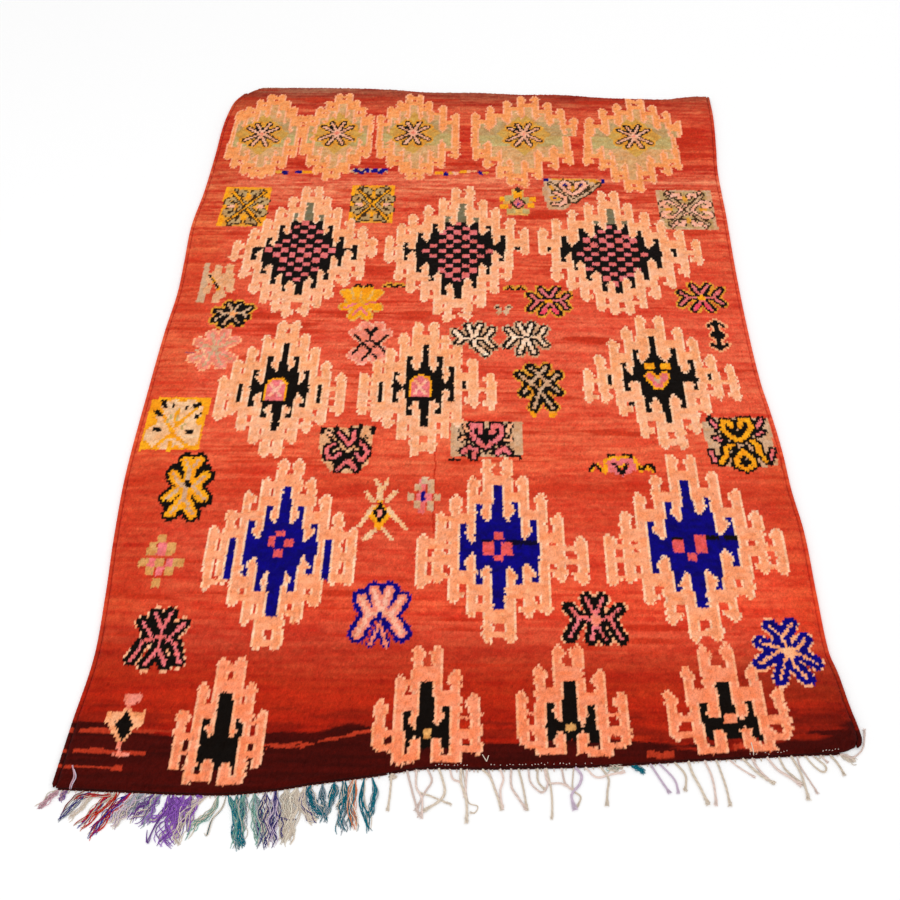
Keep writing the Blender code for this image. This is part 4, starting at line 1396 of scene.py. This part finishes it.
# Coloured locks: root across, places on the route from the root, width, all in mm, then the dyes
COLOURED_LOCKS = (
    (-754, ((-12, -14), (-32, -40)), 9, ("mauve", "oat")),
    (-739, ((-4, -10), (-9, -24)), 8, ("mauve", "plum")),
    (-703, ((-20, -16), (-38, -52)), 3, ("wine", "oat")),
    (-692, ((-22, -24), (-50, -62)), 7, ("ink", "slate")),
    (-684, ((-16, -28), (-40, -58)), 6, ("oat", "blush")),
    (-659, ((2, -8), (-28, -9), (-54, -10), (-60, -20)), 5, ("scarlet", "wine")),
    (-657, ((-20, -32), (-50, -70)), 9, ("scarlet", "cobalt")),
    (-643, ((-8, -14), (-30, -40), (-58, -74)), 9, ("scarlet", "ember")),
    (-637, ((-20, -42), (-46, -88)), 3, ("scarlet", "wine")),
    (-617, ((-30, -38), (-64, -90)), 11, ("cobalt", "scarlet")),
    (-604, ((-22, -36), (-40, -68)), 15, ("lilac", "oat")),
    (-586, ((-26, -26), (-54, -48)), 16, ("slate", "lilac")),
    (-571, ((-12, -26), (-42, -52)), 17, ("plum", "slate")),
    (-560, ((-12, -24), (-24, -68)), 13, ("slate", "violet")),
    (-546, ((3, -20), (-8, -44), (-36, -50)), 10, ("violet", "plum")),
    (-542, ((-4, -34), (-18, -62), (-25, -92), (-31, -68)), 3, ("plum", "violet")),
    (-535, ((4, -18), (2, -32), (-12, -46)), 18, ("violet", "plum")),
    (-516, ((-8, -34), (-16, -68), (-17, -102)), 25, ("violet", "plum")),
    (-502, ((-3, -20), (-14, -38), (-24, -82)), 19, ("violet", "plum")),
    (-494, ((8, -4), (18, -6)), 5, ("violet", "plum")),
    (-486, ((-6, -30), (-10, -50), (-13, -72)), 7, ("plum", "violet")),
    (-470, ((-24, -20), (-46, -44), (-48, -74), (-42, -98)), 13, ("oat", "lilac")),
    (-450, ((-10, -34), (-34, -54), (-52, -86)), 10, ("sage", "oat")),
    (-436, ((-4, -26), (-20, -48), (-24, -78), (-34, -68)), 3, ("teal", "sage")),
    (-432, ((14, -28), (28, -60), (32, -106)), 10, ("sage", "teal")),
    (-417, ((8, -40), (14, -106)), 13, ("teal", "sage")),
    (-408, ((2, -50), (10, -80), (22, -98)), 5, ("teal", "ink")),
    (-401, ((-2, -40), (2, -108)), 15, ("sage", "slate")),
    (-384, ((6, -26), (16, -62), (19, -108)), 13, ("sage", "slate")),
    (-362, ((3, -46), (10, -110)), 15, ("ink", "oat")),
    (-346, ((5, -36), (4, -72), (10, -110)), 15, ("lilac", "ink")),
    (-343, ((6, -46), (26, -56), (48, -54)), 2, ("ink", "ink")),
    (-341, ((8, -50), (17, -66), (14, -82), (24, -94)), 4, ("ink", "oat")),
    (-325, ((5, -36), (10, -110)), 17, ("oat", "cream")),
    (-305, ((-2, -40), (-5, -110)), 16, ("oat", "cream")),
    (-289, ((-2, -36), (15, -60), (30, -68)), 13, ("oat", "ink")),
    (-278, ((-1, -18), (14, -44), (32, -64)), 12, ("teal", "slate")),
    (-257, ((2, -30), (8, -55), (9, -78)), 12, ("teal", "slate")),
    (-237, ((7, -18), (-2, -44), (-11, -74)), 8, ("teal", "slate")),
    (-233, ((-6, -22), (-5, -50)), 6, ("teal", "teal")),
    (-219, ((5, -36), (2, -72), (7, -106)), 11, ("teal", "slate")),
    (-215, ((2, -34), (-16, -56)), 7, ("teal", "oat")),
    (-199, ((-5, -30), (3, -66), (13, -102)), 10, ("slate", "ember")),
    (-195, ((-3, -54), (-5, -100)), 9, ("teal", "ember")),
    (-178, ((-3, -36), (8, -74), (18, -106)), 9, ("teal", "teal")),
    (-164, ((8, -32), (3, -60), (0, -82)), 9, ("teal", "slate")),
)

# Tufts at the other half, in the same columns
PALE_TUFTS = (
    (-128, ((3, -6), (5, -12)), 9, ("oat", "blush")),
    (318, ((-16, -5), (-36, -7)), 10, ("oat", "sage")),
    (331, ((12, -5), (27, -16)), 8, ("teal", "teal")),
    (735, ((14, -7), (32, -17)), 9, ("oat", "blush")),
)

# Warp ends: root across, places on the route from the root, thickness, all in mm, then the dye
WARP_ENDS = (
    (-127, ((-1, -40), (-4, -74)), 4.2, "oat"),
    (-98, ((12, -42), (27, -90)), 4.4, "blush"),
    (-80, ((1, -34), (13, -58), (13, -96)), 4.4, "blush"),
    (-79, ((2, -40), (28, -52), (68, -68)), 3.6, "oat"),
    (-59, ((9, -24), (-4, -48), (-20, -84)), 4.2, "blush"),
    (-37, ((12, -40), (4, -62), (-28, -84)), 5.2, "oat"),
    (-16, ((6, -20), (21, -28), (30, -52)), 4.0, "blush"),
    (5, ((1, -28), (11, -62), (12, -106)), 5.4, "oat"),
    (9, ((6, -40), (12, -66), (28, -72), (24, -84), (13, -85)), 2.4, "oat"),
    (17, ((-2, -28), (-3, -56)), 4.0, "blush"),
    (46, ((15, -16), (25, -44), (37, -80)), 4.4, "oat"),
    (57, ((11, -32), (23, -66)), 3.6, "blush"),
    (80, ((6, -20), (0, -44), (4, -80)), 4.4, "blush"),
    (101, ((0, -34), (12, -56), (28, -80)), 4.6, "blush"),
    (115, ((8, -36), (15, -82)), 4.2, "oat"),
    (134, ((4, -28), (24, -47), (36, -30), (33, -3)), 4.2, "blush"),
    (152, ((0, -26), (14, -44)), 4.0, "oat"),
    (165, ((6, -28), (31, -30), (56, -44)), 4.0, "blush"),
    (168, ((7, -34), (9, -66), (7, -100)), 4.2, "oat"),
    (198, ((4, -28), (10, -36)), 3.8, "blush"),
    (224, ((11, -16), (6, -34), (-10, -56), (-4, -84)), 5.2, "lilac"),
    (221, ((-4, -42), (10, -58), (2, -78)), 3.4, "oat"),
    (243, ((20, -20), (48, -14), (76, -8)), 4.2, "blush"),
    (272, ((14, -24), (10, -50), (7, -78)), 4.4, "oat"),
    (368, ((17, -32), (32, -58)), 4.2, "lilac"),
    (385, ((26, -32), (31, -60)), 4.0, "lilac"),
    (415, ((18, -26), (14, -58)), 4.2, "oat"),
    (442, ((5, -24), (16, -52), (28, -86)), 5.2, "oat"),
    (473, ((9, -28), (12, -56), (11, -90)), 4.4, "blush"),
    (496, ((8, -36), (12, -62), (14, -92)), 4.4, "oat"),
    (520, ((20, -18), (46, -36)), 3.4, "blush"),
    (547, ((26, -30), (54, -50)), 4.8, "oat"),
    (565, ((8, -20), (25, -44)), 4.4, "blush"),
    (594, ((16, -24), (38, -40), (57, -56)), 5.0, "blush"),
    (617, ((8, -24), (22, -40), (38, -56)), 4.2, "oat"),
    (641, ((13, -36), (18, -88)), 4.8, "oat"),
    (653, ((2, -20), (14, -48), (26, -76)), 3.4, "blush"),
    (668, ((16, -24), (30, -33), (36, -22), (18, -2)), 3.8, "oat"),
    (698, ((6, -8), (12, -16)), 3.6, "blush"),
    (717, ((11, -18), (20, -42)), 4.2, "oat"),
    (736, ((24, -6), (48, 14), (60, 54)), 3.4, "blush"),
)

# Strands that lie on the pile near the edge: (across, along) of the points, thickness, in mm, dye
STRAY_STRANDS = (
    (((46, 902), (54, 888)), 1.8, "oat"),
    (((58, 900), (54, 888)), 1.8, "oat"),
    (((566, 936), (568, 912)), 2.2, "oat"),
    (((-736, 866), (-729, 850), (-728, 838), (-734, 822)), 3.2, "mauve"),
    (((-731, 858), (-724, 842), (-731, 822)), 2.4, "lilac"),
)
YARN_DYES = {
    "mauve": (192, 150, 160),
    "wine": (140, 50, 60),
    "ink": (60, 52, 118),
    "slate": (146, 154, 162),
    "blush": (230, 208, 198),
    "oat": (218, 202, 184),
    "cream": (234, 226, 208),
    "scarlet": (190, 32, 20),
    "violet": (148, 94, 186),
    "plum": (112, 66, 146),
    "cobalt": (44, 36, 146),
    "sage": (122, 170, 156),
    "lilac": (202, 182, 200),
    "teal": (10, 106, 124),
    "ember": (214, 122, 74),
    "maroon": (60, 9, 5),
}
# Points along and round a yarn
YARN_STATIONS = 14
YARN_SIDES = 5
# How full a lock is on the way to its tip: share of the way, share of its width
FULLNESS = ((0.0, 0.18), (0.08, 0.34), (0.24, 1.0), (0.55, 1.2), (0.85, 1.2), (1.0, 1.1))
# A lock's yarns for each millimetre, the fewest and the most, and the shares of its three dyes
YARNS_TO_MM, FEWEST_YARNS, MOST_YARNS = 1.15, 3, 22
DYE_SHARES = [0.60, 0.28, 0.12]
# A warp end: the rise of its twist in metres, its yarns, and the share of the way where it frays
TWIST, PLIES, FRAYED_FROM = 0.013, 3, 0.82
# The edge cord's points, the level of its middle and its radius, in metres
EDGE_POINTS, EDGE_LEVEL, EDGE_RADIUS = 160, 0.0018, 0.0017
# Strands start this far inside the root strip, in metres
ROOT_DEPTH = 0.002


def near_edge(across):
    """How far along the cloth's near edge lies at a distance across."""
    share = np.linspace(0.0, 1.0, 400)
    points = place(share, 0.0 * share)
    return np.interp(across, points[0], points[1])


def edge_point(across):
    """Where a strand leaves the cloth's near edge, in metres, for a distance across in mm."""
    return np.array([across / 1000, near_edge(across / 1000) - GAP - ROOT_DEPTH])


def smooth_route(root, places, share):
    """The path from the root through these places, in metres, at shares of its stations."""
    stations = [(0.0, 0.0), *places]
    steps = np.asarray(share) * (len(stations) - 1)
    ways = [eased([(number, point[k]) for number, point in enumerate(stations)], steps)
            for k in (0, 1)]
    return root + np.stack(ways, axis=-1) / 1000


def sideways(path):
    run = np.gradient(path, axis=0)
    run = run / np.maximum(np.hypot(run[:, 0], run[:, 1]), 1e-9)[:, None]
    return np.stack([run[:, 1], -run[:, 0]], axis=-1)


def tube(path, level, radius, dye):
    """The points, faces and colours of one yarn along a path of loom points, level metres up."""
    out = sideways(path)
    angle = np.arange(YARN_SIDES) / YARN_SIDES * 2 * math.pi
    girth = radius * np.where(np.arange(len(path)) == len(path) - 1, 0.45, 1.0)
    x = path[:, 0:1] + out[:, 0:1] * girth[:, None] * np.cos(angle)
    y = path[:, 1:2] + out[:, 1:2] * girth[:, None] * np.cos(angle)
    z = np.maximum(level[:, None] + girth[:, None] * np.sin(angle), 0.0001)
    points = in_frame(x, y, z).reshape(-1, 3)
    return points, tube_faces(len(path), YARN_SIDES), np.tile(dye, (len(points), 1))


def joined(name, node, tubes):
    """One piece from many yarns."""
    starts = np.cumsum([0] + [len(points) for points, _, _ in tubes])
    points = np.concatenate([points for points, _, _ in tubes])
    faces = np.concatenate([faces + start for (_, faces, _), start in zip(tubes, starts)])
    colours = np.concatenate([colours for _, _, colours in tubes])
    piece = new_mesh(name, points, faces, colours)
    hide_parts(node)
    return piece


def lock(across, places, width, dyes, rng):
    """The yarns of one lock, held close at the root and tangled in the belly."""
    count = int(np.clip(round(width * YARNS_TO_MM), FEWEST_YARNS, MOST_YARNS))
    share = np.linspace(0.0, 1.0, YARN_STATIONS)
    tubes = []
    for number in range(count):
        path = smooth_route(edge_point(across), places, share * rng.uniform(0.82, 1.0))
        place_in = (number + 0.5) / count - 0.5 + rng.normal(0.0, 0.08)
        wave = (0.10 + 0.24 * share) * np.sin(share * rng.uniform(7, 18) + rng.uniform(0, 6))
        aside = (place_in + wave) * width / 1000 * eased(FULLNESS, share)
        path = path + sideways(path) * aside[:, None]
        radius = rng.uniform(0.0006, 0.0010)
        level = radius + rng.uniform(0.0, 0.0032) * np.sin(share * math.pi)
        choice = rng.choice([*dyes, "oat"], p=DYE_SHARES)
        dye = linear(YARN_DYES[choice]) * rng.uniform(0.7, 1.15)
        tubes.append(tube(path, level, radius, dye))
    return tubes


def warp_end(across, places, thickness, dye, rng):
    """Three warp yarns twisted round each other, which fray at their tips."""
    girth = thickness / 1000
    share = np.linspace(0.0, 1.0, 2 * YARN_STATIONS)
    bend = smooth_route(edge_point(across), places, share)
    travelled = np.concatenate([[0.0], np.cumsum(np.hypot(*np.diff(bend, axis=0).T))])
    start = rng.uniform(0, 6)
    tubes = []
    for turn in range(PLIES):
        phase = travelled / TWIST * 2 * math.pi + turn * 2.1 + start
        frayed = np.clip(share - FRAYED_FROM, 0.0, 1.0) * 5 * rng.uniform(0.2, 1.5)
        apart = girth * (0.30 + 0.8 * frayed)
        path = bend + sideways(bend) * (apart * np.cos(phase))[:, None]
        level = girth * (0.46 + 0.18 * np.sin(phase))
        colour = linear(YARN_DYES[dye]) * rng.uniform(0.80, 1.1)
        tubes.append(tube(path, level, girth * 0.27, colour))
    return tubes


def edge_cord(left, right):
    """The cord that the fringe hangs from, along the near edge."""
    across = np.linspace(left, right, EDGE_POINTS)
    path = np.stack([across, near_edge(across) - GAP - ROOT_DEPTH], axis=-1)
    level = np.full(EDGE_POINTS, EDGE_LEVEL)
    return tube(path, level, EDGE_RADIUS, linear(YARN_DYES["maroon"]))


def nubs(left, right, rng):
    """Short pale ends that stick out under the cord, where a lock has gone."""
    tubes = []
    across = left
    share = np.linspace(0.0, 1.0, 4)
    while across < right:
        places = ((rng.normal(0.0, 1.2), -rng.uniform(3, 8)),)
        path = smooth_route(edge_point(across), places, share)
        dye = linear(YARN_DYES["blush" if rng.random() > 0.5 else "oat"])
        tubes.append(tube(path, np.full(4, 0.0016), 0.0013, dye * 0.9))
        across += rng.uniform(7, 15)
    return tubes


# Runs of stitches, from here to here across, their pitch and how far in from the edge, in mm
STITCH_RUNS = ((-50, 20), (62, 258), (560, 640), (690, 735))
STITCH_PITCH, STITCH_INSET = 6.0, 5.0
# Levels of a stitch's ends and middle, in metres
STITCH_LEVELS = (0.0088, 0.0104, 0.0092)


def stitches(rng):
    """The dotted line of pale stitches that holds the near edge, on top of the pile."""
    tubes = []
    for left, right in STITCH_RUNS:
        for across in np.arange(left, right, STITCH_PITCH):
            if rng.random() < 0.3:
                continue
            inset = STITCH_INSET + rng.normal(0.0, 1.2)
            start = edge_point(across) + (0.0, inset / 1000)
            path = smooth_route(start, ((1.8, rng.normal(0.0, 0.8)),), np.linspace(0.0, 1.0, 3))
            dye = linear(YARN_DYES["blush"])
            tubes.append(tube(path, np.array(STITCH_LEVELS), 0.0008, dye))
    return tubes


def strays():
    """The strands that lie on the pile at the near edge."""
    tubes = []
    for places, thickness, dye in STRAY_STRANDS:
        points = np.array(places, float)
        start = points[0] / 1000
        share = np.linspace(0.0, 1.0, 12)
        path = smooth_route(start, [tuple(point - points[0]) for point in points[1:]], share)
        inset = path[:, 1] - near_edge(path[:, 0])
        level = np.interp(inset, (-0.003, 0.0, 0.008), (0.001, 0.006, 0.0118))
        tubes.append(tube(path, level, thickness / 2000, linear(YARN_DYES[dye])))
    return tubes


def fringes():
    """The two halves of the fringe, as one piece each."""
    rng = seeded(61)
    coloured = [edge_cord(-0.756, -0.1345)] + nubs(-748, -140, rng)
    for row in COLOURED_LOCKS:
        coloured += lock(*row, rng)
    pale = [edge_cord(-0.132, 0.739)] + nubs(-126, 735, rng) + stitches(rng) + strays()
    for row in PALE_TUFTS:
        pale += lock(*row, rng)
    for row in WARP_ENDS:
        pale += warp_end(*row, rng)
    return [
        joined("fringe_yarns", "fringe_coloured", coloured),
        joined("fringe_warps", "fringe_pale", pale),
    ]


# The camera, floor and light: metres, degrees, and millimetres for the lens

CAMERA_HEIGHT = 2.010
CAMERA_TILT = 39.742
CAMERA_TURN = 1.032
LENS, SENSOR = 44.0, 36.0
FLOOR_REACH = 30.0
FLOOR_COLOUR = (0.97, 0.97, 0.97, 1.0)
FLOOR_ROUGHNESS = 0.9
SKY_STRENGTH = 0.93
# Soft boxes: place, size, watts
SOFT_BOXES = (((-1.6, -2.2, 3.4), 2.6, 22.0), ((2.2, 1.8, 3.6), 3.0, 12.0))


def camera_in(scene):
    lens = bpy.data.cameras.new("camera")
    lens.lens = LENS
    lens.sensor_width = SENSOR
    camera = bpy.data.objects.new("camera", lens)
    camera.location = (-SHIFT_ACROSS, -SHIFT_ALONG, CAMERA_HEIGHT)
    camera.rotation_euler = (math.radians(CAMERA_TILT), 0.0, math.radians(CAMERA_TURN))
    scene.collection.objects.link(camera)
    scene.camera = camera


def floor_in(scene):
    floor_mesh = bpy.data.meshes.new("floor")
    corners = ((-1, -1), (1, -1), (1, 1), (-1, 1))
    points = [(x * FLOOR_REACH, y * FLOOR_REACH, 0) for x, y in corners]
    floor_mesh.from_pydata(points, [], [(0, 1, 2, 3)])
    floor = bpy.data.objects.new("floor", floor_mesh)
    scene.collection.objects.link(floor)
    floor_paint = bpy.data.materials.new("floor")
    floor_paint.use_nodes = True
    shader = floor_paint.node_tree.nodes["Principled BSDF"]
    shader.inputs["Base Color"].default_value = FLOOR_COLOUR
    shader.inputs["Roughness"].default_value = FLOOR_ROUGHNESS
    floor_mesh.materials.append(floor_paint)


def sky_in(scene):
    world = bpy.data.worlds.new("studio")
    world.use_nodes = True
    background = world.node_tree.nodes["Background"]
    background.inputs["Color"].default_value = (1.0, 1.0, 1.0, 1.0)
    background.inputs["Strength"].default_value = SKY_STRENGTH
    scene.world = world


def soft_box(location, size, watts):
    """A square light that looks at the rug's middle."""
    lamp = bpy.data.lights.new("softbox", "AREA")
    lamp.size = size
    lamp.energy = watts
    light = bpy.data.objects.new("softbox", lamp)
    light.location = location
    away = np.array(location) / np.linalg.norm(location)
    light.rotation_euler = (math.acos(away[2]), 0.0, math.atan2(away[1], away[0]) + math.pi / 2)
    bpy.context.scene.collection.objects.link(light)


# The scene

scene = bpy.context.scene
scene.view_settings.view_transform = "Standard"
camera_in(scene)
floor_in(scene)
sky_in(scene)
for row in SOFT_BOXES:
    soft_box(*row)

pile_wool = wool("cut_pile", 0.95, 420.0, (1.0, 0.7, 1.0), relief=0.0016, contrast=0.22)
back_wool = wool("woven_back", 0.95, 260.0, EVEN, relief=0.0006, contrast=0.12)
cord_wool = wool("overcast_wool", 0.9, 600.0, EVEN, relief=0.0006, contrast=0.15)
yarn_wool = wool("loose_yarn", 0.9, 900.0, EVEN, relief=0.0004, contrast=0.18)

bands = pile()
back = back_cloth()
cords = [
    cord("cord_left", "selvedge_left", 0.0, -1.0),
    cord("cord_right", "selvedge_right", 1.0, 1.0),
]
fringe = fringes()
for pieces, its_wool in (
        (bands, pile_wool), ([back], back_wool), (cords, cord_wool), (fringe, yarn_wool)):
    for piece in pieces:
        piece.data.materials.append(its_wool)
